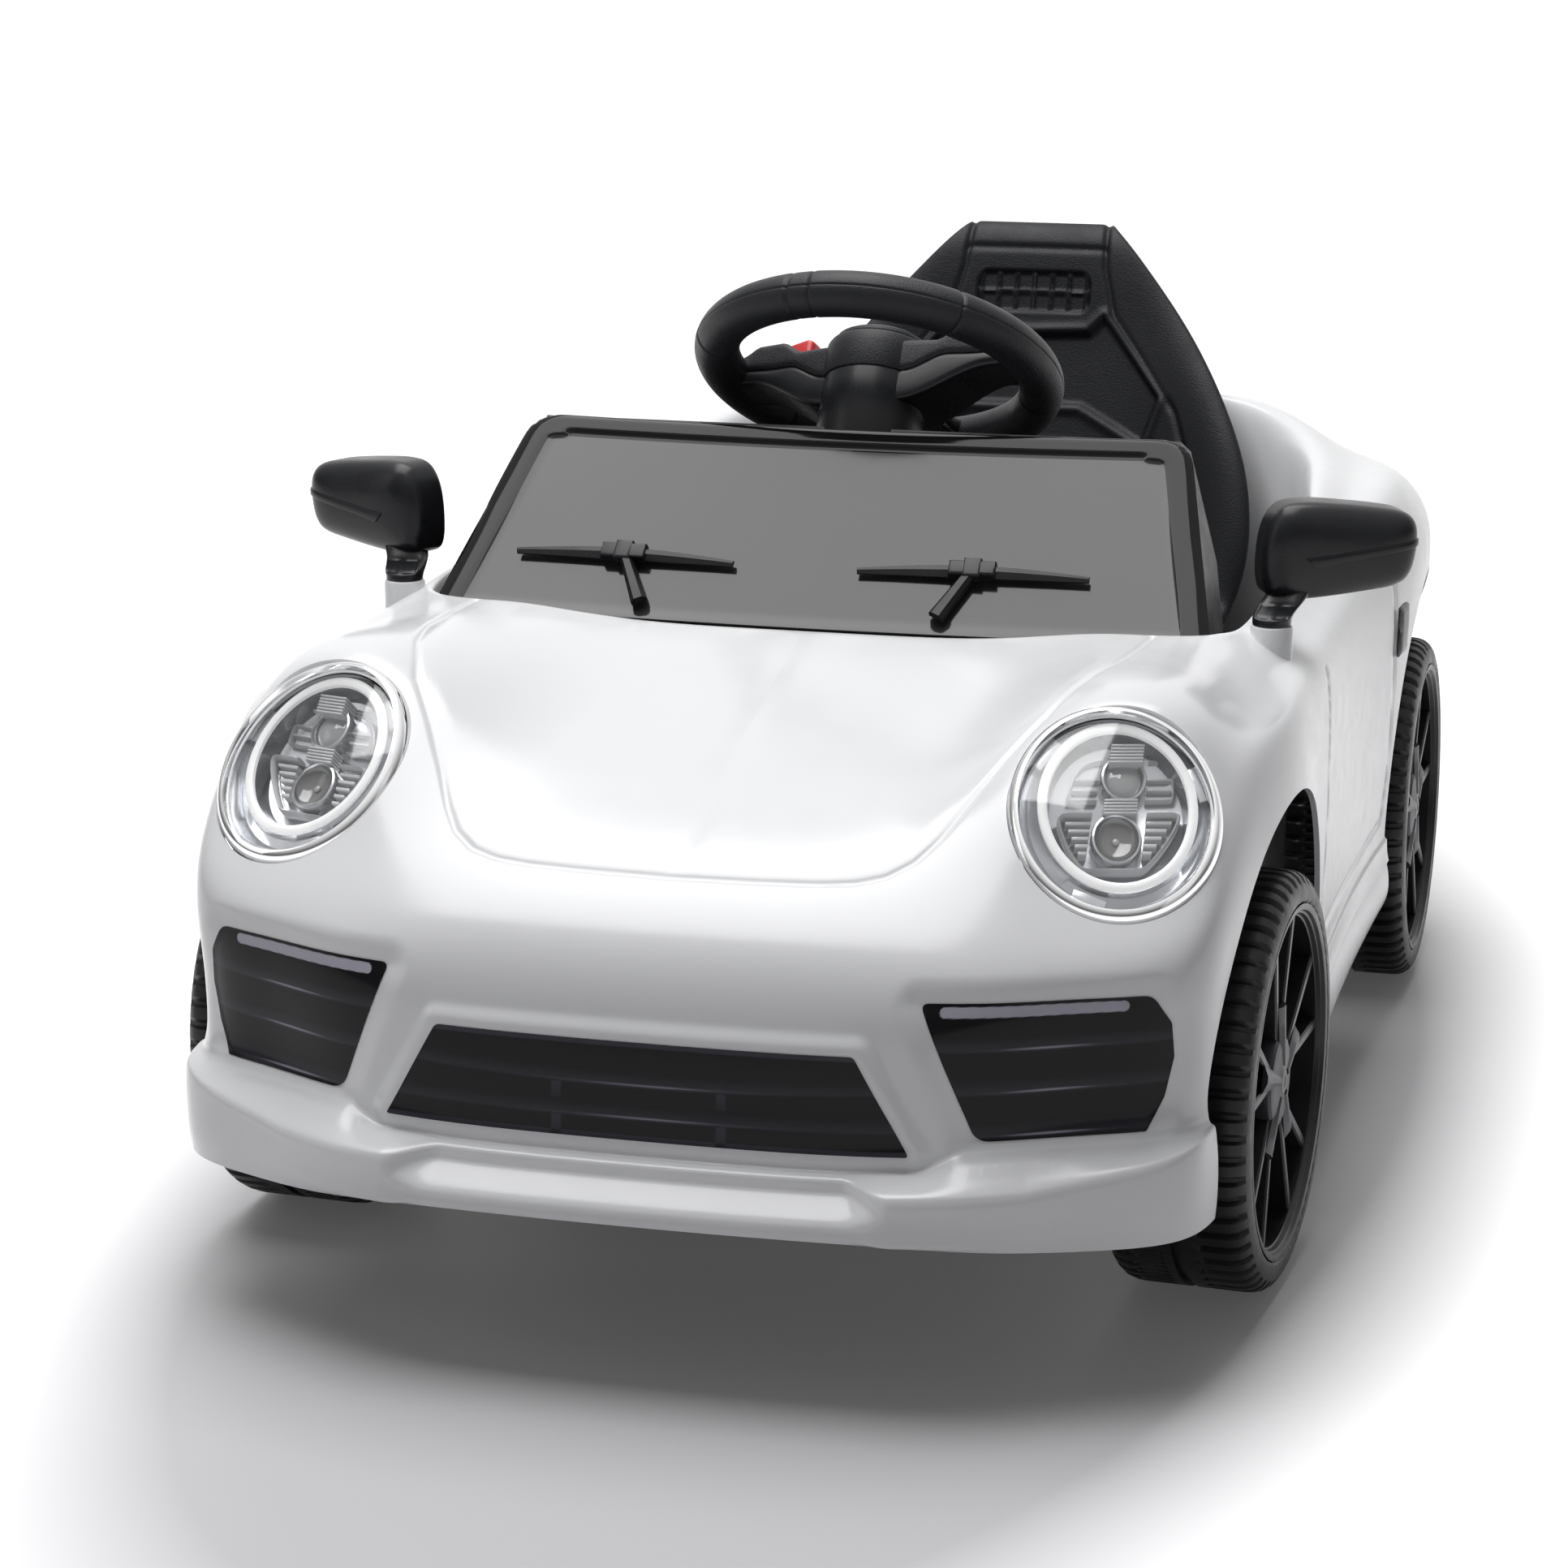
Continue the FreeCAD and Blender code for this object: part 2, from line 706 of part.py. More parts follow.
# Chassis pan with the seat deck
def make_pan(body):
    far = body_half_width * 2
    nose = block(-far, far, -body_half_length, pan_nose_y, pan_bottom_z, pan_top_z)
    front = block(-pan_front_half_width, pan_front_half_width, pan_nose_y, pan_sill_front_y, pan_bottom_z, pan_top_z)
    middle = block(-far, far, pan_sill_front_y, pan_sill_rear_y, pan_bottom_z, pan_top_z)
    rear = block(-pan_rear_half_width, pan_rear_half_width, pan_sill_rear_y, pan_tail_y, pan_bottom_z, pan_top_z)
    tail = block(-far, far, pan_tail_y, body_half_length, pan_bottom_z, pan_top_z)
    plate = joined([nose, front, middle, rear, tail]).cut(body)
    plate = min(plate.Solids, key=lambda solid: abs(solid.CenterOfMass.x))
    bulkhead_top = pan_top_z + bulkhead_height
    bulkhead = block(-pan_front_half_width, pan_front_half_width, bulkhead_y, bulkhead_y + bulkhead_thickness,
                     pan_top_z, bulkhead_top)
    deck = block(-deck_half_width, deck_half_width, deck_front_y, deck_rear_y, deck_z - deck_thickness, deck_z)
    wall_front = block(-deck_half_width, deck_half_width, deck_front_y, deck_front_y + deck_thickness,
                       pan_top_z, deck_z)
    wall_rear = block(-pan_rear_half_width, pan_rear_half_width, deck_rear_y - deck_thickness, deck_rear_y,
                      pan_top_z, deck_z)
    pieces = [plate, bulkhead, deck.cut(body), wall_front.cut(body), wall_rear]
    for side in (-1, 1):
        bearing_x = min(side * case_inner_x, side * (case_inner_x - bearing_length))
        pieces.append(block(bearing_x, bearing_x + bearing_length, rear_axle_y - bearing_half_depth,
                            rear_axle_y + bearing_half_depth, pan_bottom_z, axle_z + bearing_top))
        post_x = side * beam_post_x()
        pieces.append(block(post_x - beam_half_depth, post_x + beam_half_depth, front_axle_y - beam_half_depth,
                            front_axle_y + beam_half_depth, pan_top_z, beam_bottom_z))
    pan = joined(pieces)
    pan = pan.cut(rod(vec(-case_inner_x, rear_axle_y, axle_z), along_x, axle_radius, case_inner_x * 2))
    for x, y in screw_places():
        pan = pan.cut(rod(vec(x, y, pan_bottom_z), along_z, screw_shank_radius, pan_thickness))
    return largest(pan)


def beam_post_x():
    return pan_front_half_width - beam_half_depth


def screw_places():
    places = []
    for x_share, y_share in zip(screw_x_shares, screw_y_shares):
        for side in (-1, 1):
            places.append((side * x_share * body_half_width, y_share * body_half_length))
    return places


def make_screws():
    screws = []
    for x, y in screw_places():
        head = rod(vec(x, y, pan_bottom_z - screw_head_height), along_z, screw_head_radius, screw_head_height)
        shank = rod(vec(x, y, pan_bottom_z), along_z, screw_shank_radius, pan_thickness)
        screws.append(head.fuse(shank))
    return Part.Compound(screws)


# Wheels, built about the origin with the outer face towards +X
def make_tyre():
    half = tyre_width / 2
    groove = tread_groove_width / 2
    floor = wheel_radius - tread_groove_depth
    profile = [
        vec(-half, 0, tyre_bore_radius),
        vec(-half, 0, wheel_radius - tyre_shoulder),
        vec(-half + tyre_shoulder / 3, 0, wheel_radius - tyre_shoulder / 3),
        vec(-half + tyre_shoulder, 0, wheel_radius),
        vec(-groove, 0, wheel_radius),
        vec(-groove, 0, floor),
        vec(groove, 0, floor),
        vec(groove, 0, wheel_radius),
        vec(half - tyre_shoulder, 0, wheel_radius),
        vec(half - tyre_shoulder / 3, 0, wheel_radius - tyre_shoulder / 3),
        vec(half, 0, wheel_radius - tyre_shoulder),
        vec(half, 0, tyre_bore_radius),
    ]
    return spun(profile, origin, along_x)


def spoke_blade(angle, inner_angle, outer_angle):
    inner_radius = hub_radius - spoke_width / 2
    outer_radius = tyre_bore_radius - barrel_wall / 2
    a = math.radians(angle + inner_angle)
    b = math.radians(angle + outer_angle)
    start = vec(0, math.cos(a) * inner_radius, math.sin(a) * inner_radius)
    end = vec(0, math.cos(b) * outer_radius, math.sin(b) * outer_radius)
    run = end - start
    across = along_x.cross(run)
    across.normalize()
    half = across * (spoke_width / 2)
    back = vec(tyre_width / 2 - spoke_setback - spoke_depth, 0, 0)
    points = [start - half + back, end - half + back, end + half + back, start + half + back]
    return prism(points, vec(spoke_depth, 0, 0))


def make_rim():
    half = tyre_width / 2
    barrel = rod(vec(-half, 0, 0), along_x, tyre_bore_radius, tyre_width)
    barrel = barrel.cut(rod(vec(-half, 0, 0), along_x, tyre_bore_radius - barrel_wall, tyre_width))
    hub = rod(vec(-half, 0, 0), along_x, hub_radius, tyre_width - hub_setback)
    pieces = [barrel, hub]
    for pair in range(spoke_pairs):
        angle = 90 + 360 * pair / spoke_pairs
        for sign in (-1, 1):
            pieces.append(spoke_blade(angle, sign * spoke_inner_spread, sign * spoke_outer_spread))
    rim = joined(pieces)
    keep = rod(vec(-half, 0, 0), along_x, tyre_bore_radius, tyre_width)
    rim = rim.common(keep)
    seat = rod(vec(half - hub_setback, 0, 0), along_x, cap_radius, hub_setback)
    rim = rim.cut(seat)
    return largest(rim.cut(rod(vec(-half, 0, 0), along_x, axle_radius + running_gap, tyre_width)))


def make_cap():
    start = tyre_width / 2 - hub_setback
    top = start + cap_height
    profile = [
        vec(start, 0, hub_radius - cap_wall * 2),
        vec(start, 0, cap_radius),
        vec(top - cap_wall, 0, cap_radius),
        vec(top, 0, cap_radius - cap_wall),
        vec(top, 0, 0),
        vec(top - cap_wall, 0, 0),
        vec(top - cap_wall, 0, hub_radius - cap_wall * 2),
    ]
    cup = spun(profile, origin, along_x)
    front = tyre_width / 2 - spoke_setback
    pieces = [cup]
    for pair in range(spoke_pairs):
        arm = block(front, front + cap_arm_thickness, -cap_arm_half_width, cap_arm_half_width,
                    cap_radius - cap_wall * 2, cap_arm_radius)
        pieces.append(turned(arm, origin, along_x, 360 * pair / spoke_pairs))
    return largest(joined(pieces))


def wheel_set(side, axle_y):
    centre_x = wheel_face_x - tyre_width / 2
    result = []
    for piece in (make_tyre(), make_rim(), make_cap()):
        placed = moved(piece, centre_x, axle_y, axle_z)
        if side < 0:
            placed = mirrored(placed)
        result.append(placed)
    return result


def steered(shape, side):
    return turned(shape, vec(side * kingpin_x, front_axle_y, 0), along_z, knuckle_rest)


# Front beam, knuckles and tie rod
def make_beam():
    bar = block(-kingpin_x, kingpin_x, front_axle_y - beam_half_depth, front_axle_y + beam_half_depth,
                beam_bottom_z, beam_bottom_z + beam_height)
    pieces = [bar]
    for side in (-1, 1):
        pieces.append(rod(vec(side * kingpin_x, front_axle_y, beam_bottom_z), along_z, boss_radius, beam_height))
    beam = joined(pieces)
    for side in (-1, 1):
        bore_base = vec(side * kingpin_x, front_axle_y, beam_bottom_z)
        beam = beam.cut(rod(bore_base, along_z, kingpin_radius + running_gap, beam_height))
    return largest(beam)


def make_knuckle(side):
    x0 = kingpin_x - knuckle_block_half_width
    x1 = kingpin_x + knuckle_block_half_width
    block_top = axle_z + knuckle_block_top
    body = block(x0, x1, front_axle_y - knuckle_block_half_depth, front_axle_y + knuckle_block_half_depth,
                 axle_z - knuckle_block_bottom, block_top)
    seat_z = beam_bottom_z - side_gap
    flange = rod(vec(kingpin_x, front_axle_y, block_top), along_z, boss_radius, seat_z - block_top)
    nut_z = beam_bottom_z + beam_height + side_gap
    pin = rod(vec(kingpin_x, front_axle_y, axle_z), along_z, kingpin_radius, nut_z + kingpin_nut_height - axle_z)
    pin_nut = rod(vec(kingpin_x, front_axle_y, nut_z), along_z, kingpin_nut_radius, kingpin_nut_height)
    stub = rod(vec(kingpin_x, front_axle_y, axle_z), along_x, axle_radius, axle_end_x - kingpin_x)
    collar = rod(vec(kingpin_x, front_axle_y, axle_z), along_x, stub_collar_radius,
                 wheel_inner_x - side_gap - kingpin_x)
    end_nut = rod(vec(hub_end_x + side_gap, front_axle_y, axle_z), along_x, nut_radius, nut_height)
    arm = block(kingpin_x - arm_half_width, kingpin_x + arm_half_width, front_axle_y, tie_y + arm_half_width,
                arm_bottom_z, arm_bottom_z + arm_thickness)
    tie_pin = rod(vec(kingpin_x, tie_y, tie_pin_end_z), along_z, tie_pin_radius, arm_bottom_z - tie_pin_end_z)
    knuckle = joined([body, flange, pin, pin_nut, stub, collar, end_nut, arm, tie_pin])
    if side < 0:
        knuckle = mirrored(knuckle)
    return steered(knuckle, side)


def make_tie_rod():
    tie_top = tie_bottom_z + tie_thickness
    bar = block(-tie_half_length, tie_half_length, tie_y - tie_half_width, tie_y + tie_half_width,
                tie_bottom_z, tie_top)
    pad = block(-tie_centre_half_width, tie_centre_half_width, tie_y - tie_centre_half_depth,
                tie_y + tie_centre_half_depth, tie_bottom_z, tie_top)
    tie = bar.fuse(pad)
    for side in (-1, 1):
        x = side * kingpin_x
        half = tie_pin_radius + tie_slot_side_gap
        tie = tie.cut(block(x - half, x + half, tie_y - tie_slot_run, tie_y + tie_slot_run, tie_bottom_z, tie_top))
    slot_y = tie_y + tie_centre_slot_shift
    tie = tie.cut(block(-tie_centre_slot_half_width, tie_centre_slot_half_width,
                        slot_y - tie_centre_slot_half_length, slot_y + tie_centre_slot_half_length,
                        tie_bottom_z, tie_top))
    return moved(largest(tie.removeSplitter()), tie_rest_x, 0, 0)


# Steering column group, built upright about the wheel's middle, then turned and leant
def column_placed(shape):
    copy = turned(shape, origin, along_z, steering_rest)
    copy.rotate(origin, along_x, -column_tilt)
    copy.translate(vec(0, wheel_centre_y, wheel_centre_z))
    return copy


def button_well(side):
    base = vec(side * button_x, spoke_arm_shift, steer_hub_rise - button_height)
    return rod(base, along_z, button_radius + button_gap, button_height * 2)


def make_steering_wheel():
    ring = Part.makeTorus(grip_ring_radius, grip_radius, origin, along_z)
    hub = rod(vec(0, 0, -steer_hub_depth), along_z, steer_hub_radius, steer_hub_depth + steer_hub_rise)
    pieces = [ring, hub]
    for side in (-1, 1):
        points = [vec(0, spoke_arm_shift - spoke_arm_inner_y, -spoke_arm_half_height)]
        points.append(vec(side * grip_ring_radius, spoke_arm_shift - spoke_arm_outer_y, -spoke_arm_half_height))
        points.append(vec(side * grip_ring_radius, spoke_arm_shift + spoke_arm_outer_y, -spoke_arm_half_height))
        points.append(vec(0, spoke_arm_shift + spoke_arm_inner_y, -spoke_arm_half_height))
        pieces.append(prism(points, vec(0, 0, spoke_arm_half_height + steer_hub_rise)))
    pieces.append(block(-lower_spoke_half_width, lower_spoke_half_width, 0, grip_ring_radius,
                        -spoke_arm_half_height, spoke_arm_half_height))
    wheel = joined(pieces)
    for side in (-1, 1):
        wheel = wheel.cut(button_well(side))
    wheel = wheel.cut(rod(vec(0, 0, -steer_hub_depth), along_z, shaft_radius, shaft_socket_depth))
    return column_placed(largest(wheel))


def make_hub_pad():
    edge = pad_height / 2
    profile = [
        vec(0, 0, steer_hub_rise),
        vec(pad_radius, 0, steer_hub_rise),
        vec(pad_radius, 0, steer_hub_rise + edge),
        vec(pad_radius - edge, 0, steer_hub_rise + pad_height),
        vec(0, 0, steer_hub_rise + pad_height),
    ]
    return column_placed(spun(profile, origin, along_z))


def make_button(side):
    base_z = steer_hub_rise - button_height + button_stroke + button_gap
    button = rod(vec(side * button_x, spoke_arm_shift, base_z), along_z, button_radius, button_height + button_stroke)
    return column_placed(button)


def make_shaft():
    top = -steer_hub_depth + shaft_socket_depth
    low = -crank_drop / math.cos(tilt)
    shaft = rod(vec(0, 0, low), along_z, shaft_radius, top - low)
    web = block(-crank_half_width, crank_half_width, -crank_half_width, crank_radius + crank_half_width,
                low - crank_thickness / 2, low + crank_thickness / 2)
    pin = rod(vec(0, crank_radius, low - crank_pin_length), along_z, crank_pin_radius, crank_pin_length)
    return column_placed(joined([shaft, web, pin]))


def make_bracket():
    pieces = [block(-bracket_half_width, bracket_half_width, bracket_front_y, bracket_rear_y,
                    bracket_bottom_z, bracket_top_z)]
    for side in (-1, 1):
        x0 = min(side * bracket_half_width, side * (bracket_half_width - bracket_leg_width))
        pieces.append(block(x0, x0 + bracket_leg_width, bracket_leg_front_y, bracket_rear_y,
                            pan_top_z, bracket_bottom_z))
    bracket = joined(pieces)
    bore = rod(vec(0, 0, -wheel_centre_z * 2), along_z, shaft_radius + running_gap, wheel_centre_z * 2)
    return largest(bracket.cut(column_placed(bore)))


# Windshield, wipers and dashboard
def glass_point(across, up):
    half = glass_base_half_width + (glass_top_half_width - glass_base_half_width) * up
    y = glass_base_y + (glass_top_y - glass_base_y) * up - glass_bow * (1 - across * across)
    z = glass_base_z + (glass_top_z - glass_base_z) * up
    return vec(across * half, y, z)


def glass_frame():
    side = glass_point(1, 1) - glass_point(1, 0)
    lean = math.atan2(side.z, side.y)
    return lean


def make_windshield(body):
    columns = 7
    rows = 4
    grid = []
    for i in range(columns):
        across = 2 * i / (columns - 1) - 1
        grid.append([glass_point(across, j / (rows - 1)) for j in range(rows)])
    panel = skin_solid(grid, offset_net(grid, glass_thickness, False))
    top = glass_top_half_width - glass_corner_radius
    corner_z = glass_top_z - glass_corner_radius
    low = glass_base_z - glass_edge_margin
    keep = block(-glass_base_half_width * 2, glass_base_half_width * 2, -body_half_length, body_half_length,
                 low, corner_z)
    cap = block(-top, top, -body_half_length, body_half_length, corner_z, glass_top_z + glass_edge_margin)
    pieces = [keep, cap]
    for side in (-1, 1):
        pieces.append(rod(vec(side * top, -body_half_length, corner_z), along_y, glass_corner_radius,
                          body_half_length * 2))
    panel = panel.common(joined(pieces))
    return largest(largest(panel).cut(body))


def make_wiper(side):
    lean = glass_frame()
    out = vec(0, -math.sin(lean), math.cos(lean))
    place = wiper_left_x if side > 0 else wiper_right_x
    across = place / glass_base_half_width
    centre = glass_point(across, wiper_share) + out * glass_thickness
    blade = block(-wiper_length / 2, wiper_length / 2, -wiper_width / 2, wiper_width / 2,
                  -glass_thickness / 2, wiper_thickness)
    arm = block(-wiper_width / 2, wiper_width / 2, -wiper_arm_length, 0, -glass_thickness / 2, wiper_thickness)
    arm.rotate(origin, along_z, -wiper_arm_angle)
    wiper = joined([blade, arm])
    wiper.rotate(origin, along_x, math.degrees(lean))
    slope = glass_bow * 2 * across / glass_base_half_width
    wiper.rotate(origin, along_z, math.degrees(math.atan(slope)))
    wiper.translate(centre)
    if side < 0:
        wiper = mirrored(wiper)
    return wiper


def make_wipers(panel, body):
    wipers = []
    for side in (-1, 1):
        wiper = make_wiper(side)
        wipers.append(largest(wiper.cut(panel).cut(body)))
    return Part.Compound(wipers)


def make_dash(panel, body):
    far = body_half_width * 2
    points = [
        vec(-far, dash_front_y, glass_base_z),
        vec(-far, glass_top_y, glass_top_z),
        vec(-far, dash_face_y, dash_top_z),
        vec(-far, dash_face_y, switch_z - rocker_half_height * 2),
        vec(-far, dash_knee_y, dash_bottom_z),
        vec(-far, dash_front_y, dash_bottom_z),
    ]
    solid = prism(points, vec(far * 2, 0, 0))
    sides = [
        vec(-dash_base_half_width, -far, dash_bottom_z),
        vec(dash_base_half_width, -far, dash_bottom_z),
        vec(dash_top_half_width, -far, glass_top_z),
        vec(-dash_top_half_width, -far, glass_top_z),
    ]
    solid = solid.common(prism(sides, vec(0, far * 2, 0)))
    inner_face = dash_face_y - dash_face_wall
    inner = [
        vec(-far, dash_front_y + dash_wall * 4, dash_bottom_z - dash_wall),
        vec(-far, glass_top_y - dash_wall * 3, dash_top_z - dash_wall * 3),
        vec(-far, inner_face, dash_top_z - dash_wall * 2),
        vec(-far, inner_face, switch_z - rocker_half_height * 2),
        vec(-far, dash_knee_y - dash_wall * 2, dash_bottom_z - dash_wall),
    ]
    hollow = prism(inner, vec(far * 2, 0, 0))
    inner_half = dash_top_half_width - dash_wall * 2
    hollow = hollow.common(block(-inner_half, inner_half, -far, far, 0, far))
    solid = solid.cut(hollow).cut(panel).cut(body)
    hole = rod(vec(0, 0, -wheel_centre_z), along_z, column_hole_radius, wheel_centre_z - steer_hub_depth / 2)
    solid = solid.cut(column_placed(hole))
    hub_room = rod(vec(0, 0, -steer_hub_depth * 2), along_z, steer_hub_radius + button_stroke, steer_hub_depth * 3)
    solid = solid.cut(column_placed(hub_room))
    solid = solid.cut(rocker_opening())
    well = rod(vec(switch_x, inner_face - dash_wall, switch_z), along_y, button_radius + button_gap, far)
    solid = solid.cut(well)
    socket_back = dash_face_y - socket_length
    solid = solid.cut(rod(vec(socket_x, socket_back, socket_z), along_y, socket_radius, far))
    back = block(switch_x - button_radius * 2, switch_x + button_radius * 2, inner_face - dash_wall, inner_face,
                 switch_z - button_radius * 2, switch_z + button_radius * 2)
    return largest(solid.fuse(back).removeSplitter())


def rocker_middle_y():
    return dash_face_y - dash_face_wall / 2


def rocker_opening():
    y0 = dash_face_y - dash_face_wall * 2
    opening = block(-switch_x - rocker_half_width - side_gap, -switch_x + rocker_half_width + side_gap, y0,
                    dash_face_y + dash_face_wall, switch_z - rocker_half_height - rocker_gap,
                    switch_z + rocker_half_height + rocker_gap)
    pin_length = rocker_half_width * 2 + rocker_gap * 4
    pin = rod(vec(-switch_x - pin_length / 2, rocker_middle_y(), switch_z), along_x,
              rocker_pin_radius + running_gap, pin_length)
    return opening.fuse(pin)


def make_rocker():
    middle = rocker_middle_y()
    body = block(-switch_x - rocker_half_width, -switch_x + rocker_half_width, middle - rocker_depth / 3,
                 middle + rocker_depth * 2 / 3, switch_z - rocker_half_height, switch_z + rocker_half_height)
    pin_length = rocker_half_width * 2 + rocker_gap * 3
    pin = rod(vec(-switch_x - pin_length / 2, middle, switch_z), along_x, rocker_pin_radius, pin_length)
    return joined([body, pin])


def make_power_button():
    base = dash_face_y - dash_face_wall + button_stroke + button_gap
    return rod(vec(switch_x, base, switch_z), along_y, button_radius, dash_face_wall + button_stroke)


# Mirrors
def mirror_swept(shape):
    inboard = vec(mirror_housing_x - mirror_housing_width / 2, mirror_housing_y, 0)
    return turned(shape, inboard, along_z, mirror_sweep)


def make_mirror(side):
    points = []
    for x_share, z_share in zip(mirror_outline_x_shares, mirror_outline_z_shares):
        points.append(vec(mirror_housing_x + x_share * mirror_housing_width / 2,
                          mirror_housing_y - mirror_housing_depth / 2,
                          mirror_housing_z + z_share * mirror_housing_height / 2))
    housing = prism(points, vec(0, mirror_housing_depth, 0))
    housing = mirror_swept(housing.makeFillet(mirror_housing_round, housing.Edges))
    collar_z = mirror_boss_top_z + running_gap * 2
    collar = rod(vec(mirror_x, mirror_y, collar_z), along_z, mirror_collar_radius, mirror_collar_height)
    peg = rod(vec(mirror_x, mirror_y, mirror_boss_top_z - mirror_peg_length), along_z, mirror_peg_radius,
              mirror_peg_length + mirror_collar_height)
    foot = vec(mirror_x, mirror_y, collar_z + mirror_collar_height / 2)
    head = vec(mirror_housing_x - mirror_housing_width / 4, mirror_housing_y, mirror_housing_z)
    run = head - foot
    stalk = rod(foot, run, mirror_stalk_radius, run.Length)
    under = block(0, body_half_width * 2, -body_half_length, body_half_length, 0, collar_z)
    stalk = stalk.cut(under)
    mirror = joined([housing, collar, peg, stalk])
    glass = make_mirror_glass()
    mirror = largest(mirror.cut(glass))
    if side < 0:
        return mirrored(mirror), mirrored(glass)
    return mirror, glass


def make_mirror_glass():
    half_width = mirror_housing_width / 2 - mirror_glass_margin
    half_height = mirror_housing_height / 2 - mirror_glass_margin
    back = mirror_housing_y + mirror_housing_depth / 2
    glass = block(mirror_housing_x - half_width, mirror_housing_x + half_width, back - mirror_glass_thickness, back,
                  mirror_housing_z - half_height, mirror_housing_z + half_height)
    upright = [edge for edge in glass.Edges if abs(edge.Vertexes[0].Y - edge.Vertexes[1].Y) > 1e-6]
    return mirror_swept(glass.makeFillet(mirror_glass_margin / 2, upright))


# Headlamps, built about the origin with the lens towards +Z
def make_bezel(side):
    inner = lamp_radius - bezel_width
    profile = [
        vec(inner, 0, -bezel_depth),
        vec(lamp_radius, 0, -bezel_depth),
        vec(lamp_radius, 0, bezel_rise / 2),
        vec(lamp_radius - bezel_width / 2, 0, bezel_rise),
        vec(inner, 0, bezel_rise / 2),
    ]
    return lamp_placed(spun(profile, origin, along_z), side)


def make_lens(side):
    radius = lamp_radius - bezel_width
    sphere_radius = (radius * radius + lens_rise * lens_rise) / (2 * lens_rise)
    centre = vec(0, 0, lens_rise - sphere_radius)
    outer = Part.makeSphere(sphere_radius, centre)
    inner = Part.makeSphere(sphere_radius - lens_thickness, centre)
    keep = rod(vec(0, 0, -lens_thickness), along_z, radius, lens_rise + lens_thickness)
    return lamp_placed(largest(outer.cut(inner).common(keep)), side)


def make_cup(side):
    rim_radius = lamp_radius - bezel_width
    floor_radius = rim_radius * 3 / 4
    profile = [
        vec(0, 0, -cup_depth),
        vec(floor_radius, 0, -cup_depth),
        vec(rim_radius, 0, -bezel_depth),
        vec(rim_radius, 0, -lens_thickness * 2),
        vec(rim_radius - cup_wall, 0, -lens_thickness * 2),
        vec(rim_radius - cup_wall, 0, -bezel_depth),
        vec(floor_radius - cup_wall, 0, -cup_depth + cup_wall),
        vec(0, 0, -cup_depth + cup_wall),
    ]
    return lamp_placed(spun(profile, origin, along_z), side)


def make_projectors(side):
    barrels = []
    for sign in (-1, 1):
        base = vec(0, sign * projector_offset, -cup_depth + cup_wall)
        barrels.append(lamp_placed(rod(base, along_z, projector_radius, projector_length), side))
    return Part.Compound(barrels)


# Seat
def seat_net():
    grid = []
    rows = len(seat_y_shares)
    for across, rise in zip(seat_column_shares, seat_column_rise_shares):
        line = []
        for row in range(rows):
            low = max(row - 1, 0)
            high = min(row + 1, rows - 1)
            run_y = (seat_y_shares[high] - seat_y_shares[low]) * seat_depth
            run_z = (seat_z_shares[high] - seat_z_shares[low]) * seat_rise
            length = math.hypot(run_y, run_z)
            lift = seat_bolster * seat_bolster_shares[row] * rise
            y = seat_front_y + seat_y_shares[row] * seat_depth - lift * run_z / length
            z = deck_z + seat_z_shares[row] * seat_rise + lift * run_y / length
            line.append(vec(across * seat_width_shares[row] * seat_half_width, y, z))
        grid.append(line)
    return grid


def make_seat():
    grid = seat_net()
    seat = skin_solid(grid, offset_net(grid, -seat_wall, False))
    above = skin_solid(offset_net(grid, seat_wall * 6, False), offset_net(grid, -seat_wall / 2, False))
    under = block(-body_half_width, body_half_width, -body_half_length, body_half_length, 0, deck_z)
    rails = []
    for side in (-1, 1):
        x = side * seat_rail_x
        rail_top = deck_z + seat_wall * 3
        rail = block(x - seat_rail_half_width, x + seat_rail_half_width, seat_rail_front_y, seat_rail_rear_y,
                     deck_z, rail_top)
        rails.append(rail.cut(above))
    seat = seat.cut(under)
    return largest(seat.multiFuse(rails))


# Pedal
def make_pedal_base():
    x0 = pedal_x - pedal_half_width - pedal_ear_thickness - side_gap
    x1 = pedal_x + pedal_half_width + pedal_ear_thickness + side_gap
    plate = block(x0, x1, pedal_hinge_y - pedal_length, pedal_hinge_y + pedal_ear_half_depth, pan_top_z,
                  pan_top_z + pedal_base_thickness)
    pieces = [plate]
    for start in (x0, x1 - pedal_ear_thickness):
        pieces.append(block(start, start + pedal_ear_thickness, pedal_hinge_y - pedal_ear_half_depth,
                            pedal_hinge_y + pedal_ear_half_depth, pan_top_z, pedal_hinge_z + pedal_ear_rise))
    pin = rod(vec(x0, pedal_hinge_y, pedal_hinge_z), along_x, pedal_pin_radius, x1 - x0)
    return joined(pieces + [pin])


def make_pedal():
    x0 = pedal_x - pedal_half_width
    barrel = rod(vec(x0, pedal_hinge_y, pedal_hinge_z), along_x, pedal_barrel_radius, pedal_half_width * 2)
    plate = block(x0, x0 + pedal_half_width * 2, pedal_hinge_y - pedal_length, pedal_hinge_y,
                  pedal_hinge_z, pedal_hinge_z + pedal_thickness)
    plate.rotate(vec(x0, pedal_hinge_y, pedal_hinge_z), along_x, -pedal_angle)
    pedal = joined([barrel, plate])
    return pedal.cut(rod(vec(x0, pedal_hinge_y, pedal_hinge_z), along_x, pedal_pin_radius + running_gap,
                         pedal_half_width * 2))


# Gear train
def involute(angle):
    return math.tan(angle) - angle


